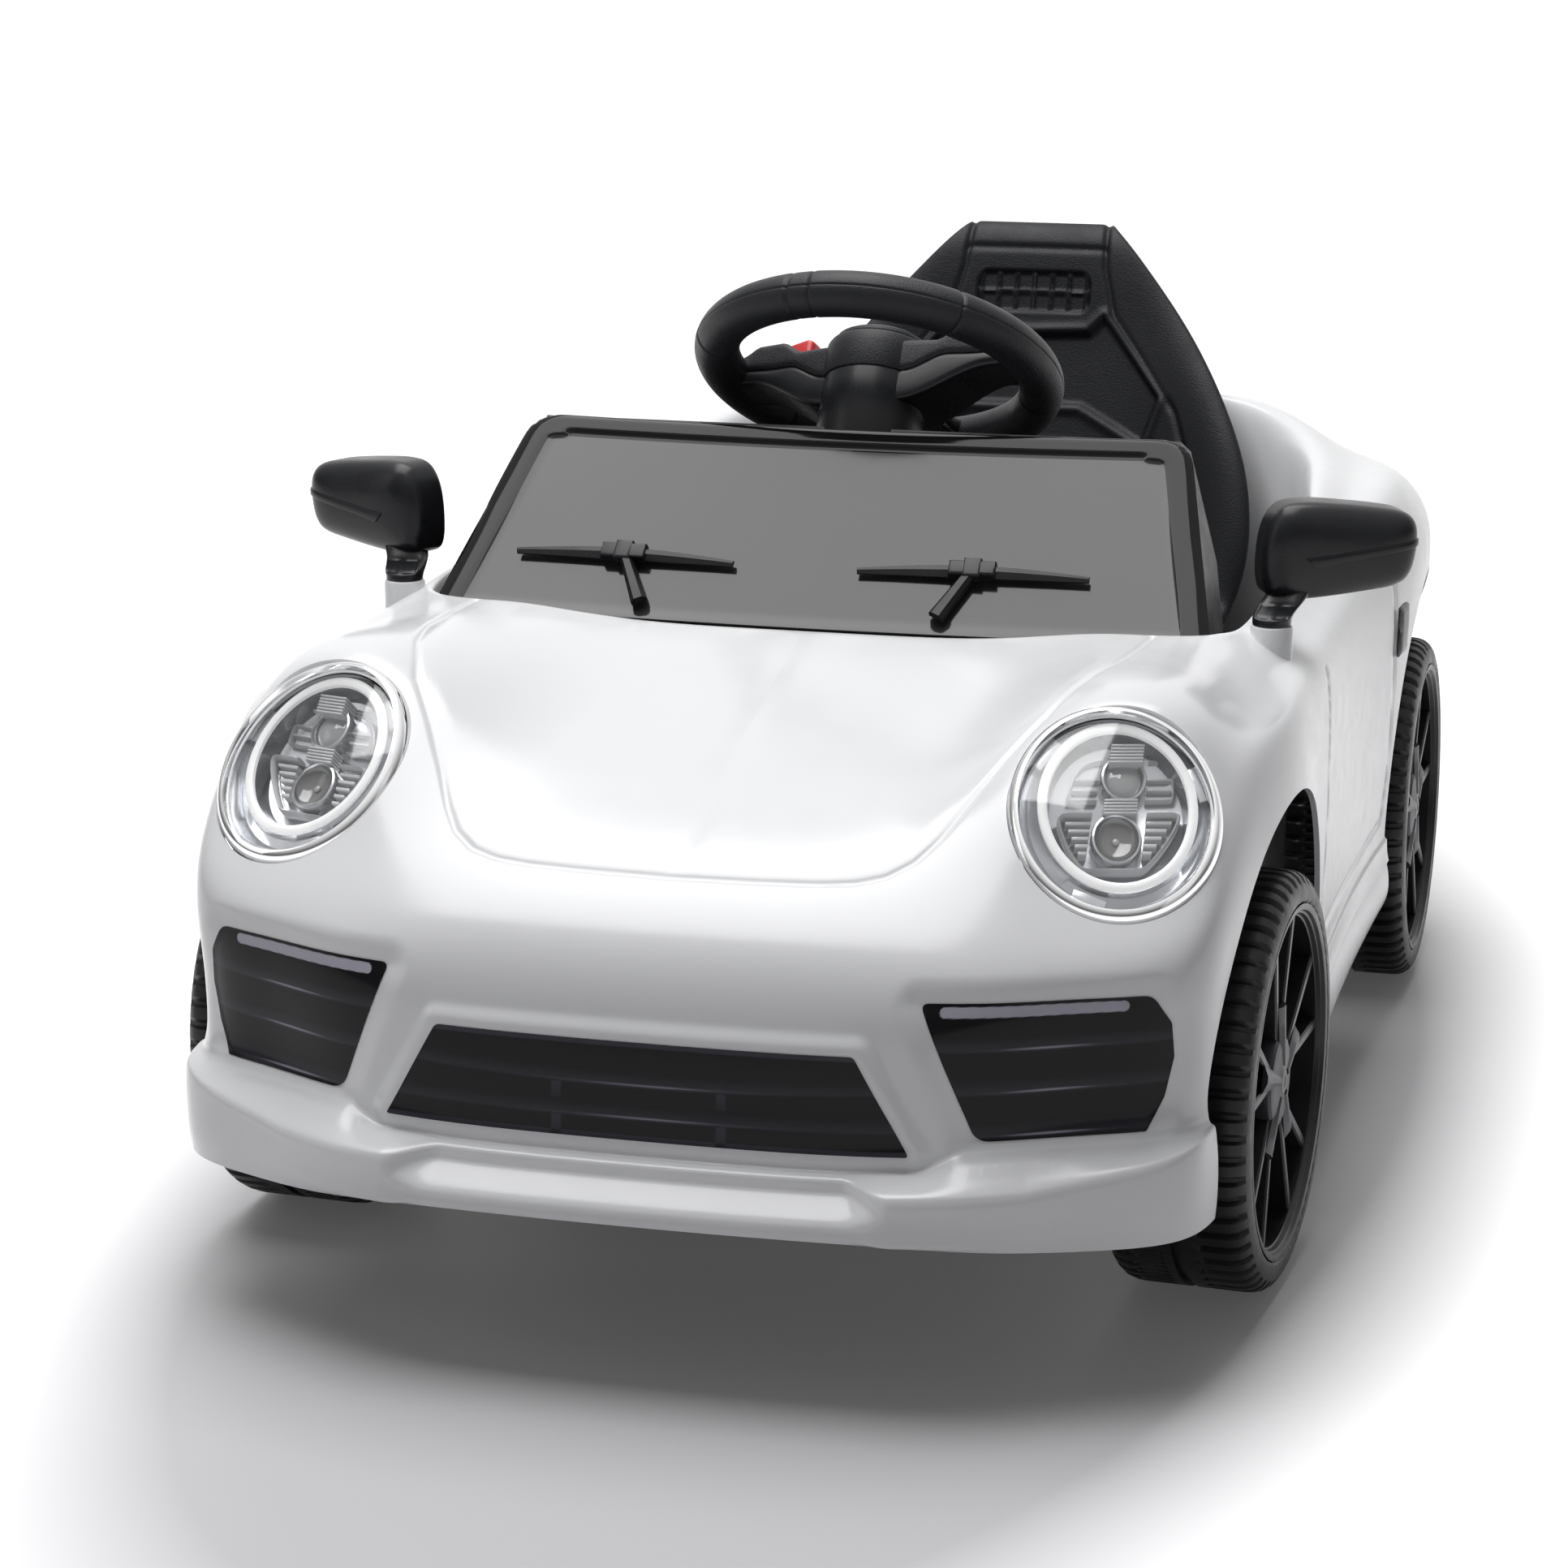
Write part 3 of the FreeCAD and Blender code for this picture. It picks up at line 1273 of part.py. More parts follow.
def gear(teeth, module, x0, width, centre, phase, bore):
    pitch = teeth * module / 2
    base = pitch * math.cos(math.radians(pressure_angle))
    tip = pitch + addendum_share * module
    root = pitch - dedendum_share * module
    half_pitch = math.pi / 2 / teeth - backlash_share * module / pitch
    start = max(base, root)
    steps = 5
    flank = []
    for i in range(steps + 1):
        radius = start + (tip - start) * i / steps
        turn = half_pitch + involute(math.radians(pressure_angle)) - involute(math.acos(min(1, base / radius)))
        flank.append((radius, turn))
    flank.insert(0, (root, flank[0][1]))
    points = []
    for tooth in range(teeth):
        middle = math.radians(phase) + 2 * math.pi * tooth / teeth
        sides = [(radius, middle - turn) for radius, turn in flank]
        sides = sides + [(radius, middle + turn) for radius, turn in reversed(flank)]
        for radius, angle in sides:
            points.append(centre + vec(x0, radius * math.cos(angle), radius * math.sin(angle)))
    blank = prism(points, vec(width, 0, 0))
    return blank.cut(rod(centre + vec(x0, 0, 0), along_x, bore, width))


def gear_centres():
    first = (large_teeth + small_teeth) * wheel_module / 2
    second = (large_teeth + small_teeth) * motor_module / 2
    a = math.radians(idler_direction)
    b = math.radians(motor_direction)
    wheel = vec(0, rear_axle_y, axle_z)
    idler = wheel + vec(0, first * math.cos(a), first * math.sin(a))
    motor = idler + vec(0, second * math.cos(b), second * math.sin(b))
    return wheel, idler, motor


def stage_x():
    outer_end = case_outer_x - case_wall - case_margin
    wheel_stage = outer_end - gear_width
    motor_stage = case_inner_x + case_wall + case_margin
    return motor_stage, wheel_stage


def make_drive_gear():
    wheel, idler, motor = gear_centres()
    motor_stage, wheel_stage = stage_x()
    bore = axle_radius + running_gap
    ring = gear(large_teeth, wheel_module, wheel_stage, gear_width, wheel, idler_direction, bore)
    sleeve_start = wheel_stage + gear_width
    sleeve = rod(wheel + vec(sleeve_start, 0, 0), along_x, sleeve_radius, wheel_inner_x - sleeve_start)
    sleeve = sleeve.cut(rod(wheel + vec(sleeve_start, 0, 0), along_x, bore, wheel_inner_x - sleeve_start))
    return joined([ring, sleeve])


def make_idler_gear():
    wheel, idler, motor = gear_centres()
    motor_stage, wheel_stage = stage_x()
    bore = idler_pin_radius + running_gap
    phase = idler_direction + 180 + 180 / small_teeth
    small = gear(small_teeth, wheel_module, wheel_stage, gear_width, idler, phase, bore)
    large = gear(large_teeth, motor_module, motor_stage, gear_width, idler, motor_direction, bore)
    hub_start = motor_stage + gear_width
    hub = rod(idler + vec(hub_start, 0, 0), along_x, idler_hub_radius, wheel_stage - hub_start)
    hub = hub.cut(rod(idler + vec(hub_start, 0, 0), along_x, bore, wheel_stage - hub_start))
    return joined([small, large, hub])


def make_pinion():
    wheel, idler, motor = gear_centres()
    motor_stage, wheel_stage = stage_x()
    phase = motor_direction + 180 + 180 / small_teeth
    teeth = gear(small_teeth, motor_module, motor_stage, gear_width, motor, phase, motor_shaft_radius)
    shaft_start = case_inner_x - motor_nose_length
    shaft = rod(motor + vec(shaft_start, 0, 0), along_x, motor_shaft_radius, motor_stage + gear_width - shaft_start)
    return joined([teeth, shaft])


def case_box():
    wheel, idler, motor = gear_centres()
    reach = (large_teeth / 2 + 1) * wheel_module + case_margin
    idler_reach = (large_teeth / 2 + 1) * motor_module + case_margin
    motor_reach = (small_teeth / 2 + 1) * motor_module + case_margin
    y0 = min(motor.y - motor_reach, idler.y - idler_reach, wheel.y - reach)
    y1 = wheel.y + reach
    z0 = wheel.z - reach
    z1 = max(idler.z + idler_reach, wheel.z + reach)
    return y0, y1, z0, z1


def make_case():
    wheel, idler, motor = gear_centres()
    y0, y1, z0, z1 = case_box()
    cover_x = case_outer_x - case_wall
    case = block(case_inner_x, cover_x, y0 - case_wall, y1 + case_wall, z0 - case_wall, z1 + case_wall)
    case = case.cut(block(case_inner_x + case_wall, cover_x, y0, y1, z0, z1))
    case = case.cut(rod(wheel + vec(case_inner_x, 0, 0), along_x, axle_radius, case_wall))
    case = case.cut(rod(motor + vec(case_inner_x, 0, 0), along_x, motor_nose_radius, case_wall))
    pin = rod(idler + vec(case_inner_x, 0, 0), along_x, idler_pin_radius, cover_x - case_inner_x)
    cover = block(cover_x, case_outer_x, y0 - case_wall, y1 + case_wall, z0 - case_wall, z1 + case_wall)
    cover = cover.cut(rod(wheel + vec(cover_x, 0, 0), along_x, sleeve_radius + side_gap, case_wall))
    return case.fuse(pin), cover


def make_motor():
    wheel, idler, motor = gear_centres()
    can = rod(motor + vec(case_inner_x - motor_length, 0, 0), along_x, motor_radius, motor_length)
    nose = rod(motor + vec(case_inner_x, 0, 0), along_x, motor_nose_radius, motor_nose_length)
    solid = can.fuse(nose)
    bore = rod(motor + vec(case_inner_x - motor_nose_length - side_gap, 0, 0), along_x,
               motor_shaft_radius + running_gap, motor_length)
    return solid.cut(bore)


def make_rear_axle():
    bar = rod(vec(-axle_end_x, rear_axle_y, axle_z), along_x, axle_radius, axle_end_x * 2)
    collar_length = wheel_inner_x - side_gap - case_inner_x
    collar = rod(vec(-case_inner_x - collar_length, rear_axle_y, axle_z), along_x, stub_collar_radius, collar_length)
    return joined([bar, collar])


def make_rear_nuts():
    nuts = []
    for side in (-1, 1):
        start = min(side * (hub_end_x + side_gap), side * axle_end_x)
        nut = rod(vec(start, rear_axle_y, axle_z), along_x, nut_radius, nut_height)
        nuts.append(nut.cut(rod(vec(start, rear_axle_y, axle_z), along_x, axle_radius, nut_height)))
    return Part.Compound(nuts)


def make_socket():
    flange = rod(vec(socket_x, dash_face_y, socket_z), along_y, socket_flange_radius, socket_flange_height)
    barrel = rod(vec(socket_x, dash_face_y - socket_length, socket_z), along_y, socket_radius, socket_length)
    solid = flange.fuse(barrel)
    bore_end = dash_face_y + socket_flange_height - socket_bore_depth
    return solid.cut(rod(vec(socket_x, bore_end, socket_z), along_y, socket_bore_radius, socket_bore_depth))


# Build and save every piece
net = body_net()
body, tail_light = make_body(net)
save("body_shell", body)
save("tail_lights", Part.Compound([tail_light, mirrored(tail_light)]))
decals, handles = make_decals(net, body)
save("front_decals", decals)
save("handle_trims", handles)
save("chassis_pan", make_pan(body))
save("body_screws", make_screws())
windshield = make_windshield(body)
save("windshield", windshield)
save("wipers", make_wipers(windshield, body))
save("dashboard", make_dash(windshield, body))
save("direction_rocker", make_rocker())
save("power_button", make_power_button())
save("seat", make_seat())
for name, side in (("left", 1), ("right", -1)):
    mirror, glass = make_mirror(side)
    save("mirror_" + name, mirror)
    save("mirror_glass_" + name, glass)
    save("headlamp_bezel_" + name, make_bezel(side))
    save("headlamp_lens_" + name, make_lens(side))
    save("headlamp_cup_" + name, make_cup(side))
    save("headlamp_projectors_" + name, make_projectors(side))
    save("knuckle_" + name, make_knuckle(side))
    tyre, rim, cap = wheel_set(side, front_axle_y)
    save("front_tyre_" + name, steered(tyre, side))
    save("front_rim_" + name, steered(rim, side))
    save("front_cap_" + name, steered(cap, side))
    tyre, rim, cap = wheel_set(side, rear_axle_y)
    save("rear_tyre_" + name, tyre)
    save("rear_rim_" + name, rim)
    save("rear_cap_" + name, cap)
save("front_beam", make_beam())
save("tie_rod", make_tie_rod())
save("steering_wheel", make_steering_wheel())
save("hub_pad", make_hub_pad())
save("horn_button", make_button(-1))
save("music_button", make_button(1))
save("steering_shaft", make_shaft())
save("column_bracket", make_bracket())
save("pedal_base", make_pedal_base())
save("pedal", make_pedal())
save("drive_gear", make_drive_gear())
save("idler_gear", make_idler_gear())
save("motor_pinion", make_pinion())
case, cover = make_case()
save("gearbox_case", case)
save("gearbox_cover", cover)
save("motor", make_motor())
save("rear_axle", make_rear_axle())
save("rear_nuts", make_rear_nuts())
save("battery", block(-battery_half_width, battery_half_width, battery_front_y, battery_front_y + battery_depth,
                      pan_top_z, pan_top_z + battery_height))
save("control_box", block(-box_half_width, box_half_width, box_front_y, box_front_y + box_depth, pan_top_z,
                          pan_top_z + box_height))
save("charging_socket", make_socket())
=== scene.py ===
import math
import bpy
import bmesh
import numpy as np
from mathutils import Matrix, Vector


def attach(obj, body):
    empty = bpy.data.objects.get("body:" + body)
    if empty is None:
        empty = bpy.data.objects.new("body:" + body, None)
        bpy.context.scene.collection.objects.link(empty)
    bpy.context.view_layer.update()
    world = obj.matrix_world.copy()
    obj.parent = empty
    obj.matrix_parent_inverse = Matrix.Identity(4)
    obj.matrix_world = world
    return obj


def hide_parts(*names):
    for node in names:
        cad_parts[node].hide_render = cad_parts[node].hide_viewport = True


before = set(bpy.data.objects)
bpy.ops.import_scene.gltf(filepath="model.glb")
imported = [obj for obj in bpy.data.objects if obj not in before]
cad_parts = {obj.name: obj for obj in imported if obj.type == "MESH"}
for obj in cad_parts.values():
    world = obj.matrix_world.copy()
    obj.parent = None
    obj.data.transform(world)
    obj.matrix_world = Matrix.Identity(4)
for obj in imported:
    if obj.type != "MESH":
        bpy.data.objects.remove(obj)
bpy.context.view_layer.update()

# Lengths are in millimetres and become metres when a mesh is built
MM = 0.001
tau = 2 * math.pi
far_in, far_out = 50.0, -50.0


# Small helpers
def lerp(a, b, t):
    return a + (b - a) * t


def smooth(edge0, edge1, x):
    t = np.clip((x - edge0) / (edge1 - edge0), 0.0, 1.0)
    return t * t * (3 - 2 * t)


def peak(x, width):
    return np.exp(-(x / width) ** 2)


def quarter_round(d, radius):
    # One at the edge, falling along a quarter circle to zero at the radius
    return 1 - np.sqrt(np.clip(1 - (1 - np.clip(d, 0, radius) / radius) ** 2, 0, 1))


def nearest(x, period):
    # Signed distance to the nearest multiple of the period
    return (x + period / 2) % period - period / 2


def full_turn(count):
    return np.linspace(0, tau, count, endpoint=False)


def turn(axis, degrees):
    a = math.radians(degrees)
    c, s = math.cos(a), math.sin(a)
    if axis == "x":
        return np.array([[1, 0, 0], [0, c, -s], [0, s, c]])
    return np.array([[c, -s, 0], [s, c, 0], [0, 0, 1]])


def placed(verts, matrix, shift=(0, 0, 0)):
    return np.asarray(verts, float) @ matrix.T + np.array(shift, float)


def sheet(nu, nv, wrap_u=False, wrap_v=False):
    faces = []
    for i in range(nu if wrap_u else nu - 1):
        for j in range(nv if wrap_v else nv - 1):
            p = (i + 1) % nu
            q = (j + 1) % nv
            faces.append((i * nv + j, p * nv + j, p * nv + q, i * nv + q))
    return faces


def loft(loops, around=True, caps=True):
    # A skin through equal loops of points, with its ends filled
    loops = np.asarray(loops, float)
    n, m = loops.shape[:2]
    faces = sheet(n, m, False, around)
    if caps:
        faces += [tuple(reversed(range(m))), tuple(range((n - 1) * m, n * m))]
    return loops.reshape(-1, 3), faces


def joined(parts):
    verts, faces, count = [], [], 0
    for v, f in parts:
        verts.append(np.asarray(v, float))
        faces.extend(tuple(k + count for k in face) for face in f)
        count += len(v)
    return np.concatenate(verts), faces


def mirrored(verts, faces):
    v = np.array(verts, float)
    v[:, 0] = -v[:, 0]
    return v, [tuple(reversed(f)) for f in faces]


def both(verts, faces):
    return joined([(verts, faces), mirrored(verts, faces)])


def revolve(profile, count):
    r, z = np.array(profile, float).T
    rings = [np.stack([r * math.cos(a), r * math.sin(a), z], 1) for a in full_turn(count)]
    return np.concatenate(rings), sheet(count, len(r), True)


def revolve_at(centre, profile, count):
    v, f = revolve(profile, count)
    return v + centre, f


def inset(outline, amount):
    p = np.array(outline, float)
    e0, e1 = p - np.roll(p, 1, 0), np.roll(p, -1, 0) - p
    e0 /= np.maximum(np.linalg.norm(e0, axis=1, keepdims=True), 1e-9)
    e1 /= np.maximum(np.linalg.norm(e1, axis=1, keepdims=True), 1e-9)
    n0 = np.stack([-e0[:, 1], e0[:, 0]], 1)
    n = n0 + np.stack([-e1[:, 1], e1[:, 0]], 1)
    n /= np.maximum((n * n0).sum(1, keepdims=True), 0.35)
    return p + n * amount


def slab(outline, z0, z1, bevel):
    # An outline drawn anticlockwise, thickened along z, with rounded edges
    loops = []
    for z, way, angles in ((z0, 1, (0, 30, 60, 90)), (z1, -1, (90, 60, 30, 0))):
        for a in np.radians(angles):
            q = inset(outline, bevel * (1 - math.sin(a)))
            loops.append(np.c_[q, np.full(len(q), z + way * bevel * (1 - math.cos(a)))])
    return loft(loops)


def box_slab(x0, x1, y0, y1, z0, z1, bevel):
    return slab([(x0, y0), (x1, y0), (x1, y1), (x0, y1)], z0, z1, bevel)


def rounded(points, radius, steps=6):
    # The outline with its corners rounded
    out = []
    p = [np.array(q, float) for q in points]
    radii = radius if isinstance(radius, (list, tuple)) else [radius] * len(p)
    for i in range(len(p)):
        a, b, c = p[i - 1], p[i], p[(i + 1) % len(p)]
        l0, l1 = np.linalg.norm(a - b), np.linalg.norm(c - b)
        d0, d1 = (a - b) / l0, (c - b) / l1
        half = math.acos(np.clip((d0 * d1).sum(), -1, 1)) / 2
        reach = min(radii[i] / max(math.tan(half), 1e-6), l0 * 0.49, l1 * 0.49)
        for t in np.linspace(0, 1, steps + 1):
            out.append((1 - t) ** 2 * (b + d0 * reach) + 2 * t * (1 - t) * b + t * t * (b + d1 * reach))
    return np.array(out)


def clip(data, faces, value):
    # Keeps the part of the sheet where the value is positive
    data = np.asarray(data, float)
    inside = value > 0
    made, extra, kept = {}, [], []
    for face in faces:
        flags = [inside[k] for k in face]
        if all(flags):
            kept.append(face)
        if all(flags) or not any(flags):
            continue
        poly = []
        for a, b in zip(face, face[1:] + face[:1]):
            if inside[a]:
                poly.append(a)
            if inside[a] != inside[b]:
                key = (min(a, b), max(a, b))
                if key not in made:
                    made[key] = len(data) + len(extra)
                    extra.append(lerp(data[a], data[b], value[a] / (value[a] - value[b])))
                poly.append(made[key])
        if len(poly) > 2:
            kept.append(tuple(poly))
    if extra:
        data = np.concatenate([data, np.array(extra)])
    used = np.zeros(len(data), bool)
    used[[k for face in kept for k in face]] = True
    index = np.cumsum(used) - 1
    return data[used], [tuple(int(index[k]) for k in face) for face in kept]


def flange(data, faces, depth):
    # Turns the open edges of a sheet inwards, so that it shows a thickness
    edges = {(a, b): True for face in faces for a, b in zip(face, face[1:] + face[:1])}
    open_edges = [e for e in edges if (e[1], e[0]) not in edges]
    index, extra = {}, []
    for k in (k for e in open_edges for k in e):
        if k not in index:
            index[k] = len(data) + len(extra)
            row = np.array(data[k])
            row[:3] -= row[3:6] * depth
            extra.append(row)
    if extra:
        data = np.concatenate([data, np.array(extra)])
    return data, list(faces) + [(b, a, index[a], index[b]) for a, b in open_edges]


def build(name, verts, faces, material, body, slot, stands_for, sharp=35.0, weld=False, recalc=False):
    mesh = bpy.data.meshes.new(name)
    mesh.from_pydata((np.asarray(verts)[:, :3] * MM).tolist(), [], [list(map(int, f)) for f in faces])
    if weld or recalc:
        bm = bmesh.new()
        bm.from_mesh(mesh)
        if weld:
            bmesh.ops.remove_doubles(bm, verts=bm.verts, dist=2e-6)
        if recalc:
            bmesh.ops.recalc_face_normals(bm, faces=bm.faces)
        bm.to_mesh(mesh)
        bm.free()
    mesh.shade_smooth()
    mesh.set_sharp_from_angle(angle=math.radians(sharp))
    mesh.materials.append(material)
    obj = bpy.data.objects.new(name, mesh)
    bpy.context.scene.collection.objects.link(obj)
    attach(obj, body)
    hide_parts(*stands_for)
    return obj


def build_pair(name, verts, faces, material, bodies, slot, node, sharp):
    # The same piece on the car's left and on its right
    meshes = ((verts, faces), mirrored(verts, faces))
    for label, body, (v, f) in zip(("_left", "_right"), bodies, meshes):
        build(name + label, v, f, material, body, slot, [node + label], sharp, recalc=True)


def basis(count, places, degree=3):
    knots = np.r_[[0.0] * degree, np.linspace(0, 1, count - degree + 1), [1.0] * degree]
    t = np.clip(np.asarray(places, float), 0, 1 - 1e-9)
    b = np.stack([(t >= knots[i]) & (t < knots[i + 1]) for i in range(len(knots) - 1)], 1).astype(float)
    for d in range(1, degree + 1):
        n = np.zeros((len(t), len(knots) - 1 - d))
        for i in range(len(knots) - 1 - d):
            a = knots[i + d] - knots[i]
            c = knots[i + d + 1] - knots[i + 1]
            if a > 0:
                n[:, i] += (t - knots[i]) / a * b[:, i]
            if c > 0:
                n[:, i] += (knots[i + d + 1] - t) / c * b[:, i + 1]
        b = n
    return b


def surface(net, u, v):
    return np.einsum("ai,bj,ijk->abk", basis(net.shape[0], u), basis(net.shape[1], v), net)


def curve(points, count):
    # A smooth line drawn from a row of points
    points = np.asarray(points, float)
    return basis(len(points), np.linspace(0, 1, count), 2) @ points


def normals(grid):
    n = np.cross(np.gradient(grid, axis=0), np.gradient(grid, axis=1))
    return n / np.maximum(np.linalg.norm(n, axis=2, keepdims=True), 1e-12)


def line_distance(x, y, points):
    best = np.full(np.shape(x), 1e9)
    for (ax, ay), (bx, by) in zip(points[:-1], points[1:]):
        dx, dy = bx - ax, by - ay
        t = np.clip(((x - ax) * dx + (y - ay) * dy) / (dx * dx + dy * dy), 0, 1)
        best = np.minimum(best, np.hypot(x - ax - t * dx, y - ay - t * dy))
    return best


def inside_distance(x, y, points):
    # Positive inside the outline, negative outside
    points = list(points)
    d = line_distance(x, y, points + [points[0]])
    inside = np.zeros(np.shape(x), bool)
    for (ax, ay), (bx, by) in zip(points, points[1:] + [points[0]]):
        inside ^= ((ay > y) != (by > y)) & (x < (bx - ax) * (y - ay) / (by - ay + 1e-12) + ax)
    return np.where(inside, d, -d)


# Materials
def new_material(name):
    material = bpy.data.materials.new(name)
    material.use_nodes = True
    tree = material.node_tree
    return material, tree, tree.nodes["Principled BSDF"], tree.nodes.new("ShaderNodeTexCoord")


def noise(tree, coords, scale, detail=3.0):
    n = tree.nodes.new("ShaderNodeTexNoise")
    n.inputs["Scale"].default_value = scale
    n.inputs["Detail"].default_value = detail
    n.inputs["Roughness"].default_value = 0.55
    tree.links.new(coords.outputs["Object"], n.inputs["Vector"])
    return n.outputs["Fac"]


def ranged(tree, source, low, high, from_low=0.3, from_high=0.7):
    m = tree.nodes.new("ShaderNodeMapRange")
    m.inputs["From Min"].default_value = from_low
    m.inputs["From Max"].default_value = from_high
    m.inputs["To Min"].default_value = low
    m.inputs["To Max"].default_value = high
    tree.links.new(source, m.inputs["Value"])
    return m.outputs["Result"]


def tinted(tree, source, colours, places=(0.3, 0.7)):
    r = tree.nodes.new("ShaderNodeValToRGB")
    for k, (place, colour) in enumerate(zip(places, colours)):
        e = r.color_ramp.elements[k] if k < 2 else r.color_ramp.elements.new(place)
        e.position = place
        e.color = (*colour, 1)
    tree.links.new(source, r.inputs["Fac"])
    return r.outputs["Color"]


def bumped(tree, shader, source, strength, distance, after=None):
    b = tree.nodes.new("ShaderNodeBump")
    b.inputs["Strength"].default_value = strength
    b.inputs["Distance"].default_value = distance
    tree.links.new(source, b.inputs["Height"])
    if after is not None:
        tree.links.new(after, b.inputs["Normal"])
    tree.links.new(b.outputs["Normal"], shader.inputs["Normal"])
    return b.outputs["Normal"]


def surfaced(tree, shader, colour, roughness):
    tree.links.new(colour, shader.inputs["Base Color"])
    tree.links.new(roughness, shader.inputs["Roughness"])


def shades(colour, dark, light):
    return [tuple(min(1.0, c * factor) for c in colour) for factor in (dark, light)]


def plastic(name, colour, rough, spread=0.05, grain=0.0, grain_scale=900.0, shade=0.04, wave=0.0, coat=0.0,
            specular=0.5):
    material, tree, shader, coords = new_material(name)
    tint = tinted(tree, noise(tree, coords, 9.0, 4.0), shades(colour, 1 - shade, 1 + shade))
    surfaced(tree, shader, tint, ranged(tree, noise(tree, coords, 55.0, 5.0), rough - spread, rough + spread))
    normal = None
    if wave:
        normal = bumped(tree, shader, noise(tree, coords, 14.0, 2.0), wave, 0.002)
    if grain:
        bumped(tree, shader, noise(tree, coords, grain_scale, 2.0), grain, 0.0004, normal)
    shader.inputs["Specular IOR Level"].default_value = specular
    if coat:
        shader.inputs["Coat Weight"].default_value = coat
        shader.inputs["Coat Roughness"].default_value = 0.06
    return material


def leather(name, colour, rough, cell, depth, specular):
    material, tree, shader, coords = new_material(name)
    shader.inputs["Specular IOR Level"].default_value = specular
    v = tree.nodes.new("ShaderNodeTexVoronoi")
    v.feature = "DISTANCE_TO_EDGE"
    v.inputs["Scale"].default_value = cell
    tree.links.new(coords.outputs["Object"], v.inputs["Vector"])
    edge = ranged(tree, v.outputs["Distance"], 0.0, 1.0, 0.0, 0.16)
    normal = bumped(tree, shader, noise(tree, coords, cell * 0.4), depth * 0.5, 0.0005)
    bumped(tree, shader, edge, depth, 0.0004, normal)
    tint = tinted(tree, noise(tree, coords, 7.0, 5.0), shades(colour, 0.88, 1.15))
    surfaced(tree, shader, tint, ranged(tree, noise(tree, coords, 40.0, 4.0), rough - 0.06, rough + 0.07))
    return material


def metal(name, colour, rough, spread=0.03, brush=0.0):
    material, tree, shader, coords = new_material(name)
    shader.inputs["Metallic"].default_value = 1.0
    tint = tinted(tree, noise(tree, coords, 30.0, 4.0), shades(colour, 0.93, 1.04))
    smear = noise(tree, coords, 120.0, 4.0)
    surfaced(tree, shader, tint, ranged(tree, smear, max(0.01, rough - spread), rough + spread))
    bumped(tree, shader, noise(tree, coords, 220.0 if brush else 26.0), 0.04 + brush, 0.0005)
    return material


def film(name, colour, rough, amount):
    # A thin clear shell: mostly see-through, with a mirror-like share
    material, tree, shader, coords = new_material(name)
    shader.inputs["Metallic"].default_value = 1.0
    shader.inputs["Alpha"].default_value = amount
    tint = tinted(tree, noise(tree, coords, 24.0), shades(colour, 0.97, 1.0))
    surfaced(tree, shader, tint, ranged(tree, noise(tree, coords, 60.0, 4.0), rough - 0.01, rough + 0.02))
    bumped(tree, shader, noise(tree, coords, 12.0, 2.0), 0.02, 0.001)
    return material


def print_material(name):
    # A glossy print whose colour follows the tone stored on the mesh
    material, tree, shader, coords = new_material(name)
    tone = tree.nodes.new("ShaderNodeAttribute")
    tone.attribute_name = "tone"
    inks = [(0.012, 0.012, 0.014), (0.06, 0.058, 0.075), (0.55, 0.53, 0.62)]
    tint = tinted(tree, tone.outputs["Fac"], inks, (0.0, 0.4, 1.0))
    surfaced(tree, shader, tint, ranged(tree, noise(tree, coords, 40.0, 4.0), 0.1, 0.18))
    bumped(tree, shader, noise(tree, coords, 30.0), 0.03, 0.001)
    shader.inputs["Specular IOR Level"].default_value = 0.12
    return material


white = plastic("white_gloss", (0.80, 0.805, 0.82), 0.2, 0.03, 0.02, 1500.0, 0.012, wave=0.015)
pan_black = plastic("pan_black", (0.02, 0.02, 0.023), 0.5, 0.08, 0.25, 700.0, 0.12, specular=0.2)
trim_black = plastic("trim_black", (0.012, 0.0125, 0.0145), 0.4, 0.07, 0.22, 1100.0, 0.12, specular=0.25)
trim_satin = plastic("trim_satin", (0.011, 0.0115, 0.0135), 0.3, 0.05, 0.06, 1300.0, 0.1, specular=0.28)
gloss_black = plastic("gloss_black", (0.008, 0.008, 0.009), 0.07, 0.02, shade=0.1, wave=0.02, specular=0.17)
smoke = plastic("smoke_pane", (0.03, 0.029, 0.03), 0.12, 0.02, shade=0.08, wave=0.02, specular=0.36)
wheel_grip = leather("wheel_grip", (0.012, 0.0125, 0.015), 0.42, cell=620.0, depth=0.25, specular=0.26)
seat_skin = leather("seat_skin", (0.008, 0.0085, 0.011), 0.42, cell=480.0, depth=0.2, specular=0.2)
tyre = plastic("tyre_rubber", (0.012, 0.012, 0.0135), 0.44, 0.08, 0.3, 800.0, 0.2, specular=0.28)
rim_black = plastic("rim_black", (0.012, 0.012, 0.014), 0.36, 0.06, 0.12, 900.0, 0.12, specular=0.32)
cap_grey = plastic("cap_grey", (0.036, 0.037, 0.043), 0.42, 0.06, 0.12, 900.0, 0.1, specular=0.35)
chrome = metal("chrome", (0.88, 0.88, 0.89), 0.05, 0.02)
reflector = metal("reflector", (0.42, 0.43, 0.45), 0.2, 0.06)
lamp_clear = film("lamp_clear", (0.97, 0.975, 0.98), 0.04, amount=0.04)
lamp_white_painted_glow = plastic("lamp_white_painted_glow", (0.96, 0.965, 0.97), 0.3, 0.04, shade=0.01)
# The halo ring gets a faint glow, painted light that keeps its shaded lower part as white as its top
halo_painted_glow = lamp_white_painted_glow.node_tree.nodes["Principled BSDF"].inputs
halo_painted_glow["Emission Color"].default_value = (1.0, 1.0, 1.0, 1.0)
halo_painted_glow["Emission Strength"].default_value = 0.18
lamp_frost = plastic("lamp_frost", (0.62, 0.625, 0.635), 0.12, 0.05, shade=0.06, coat=0.5)
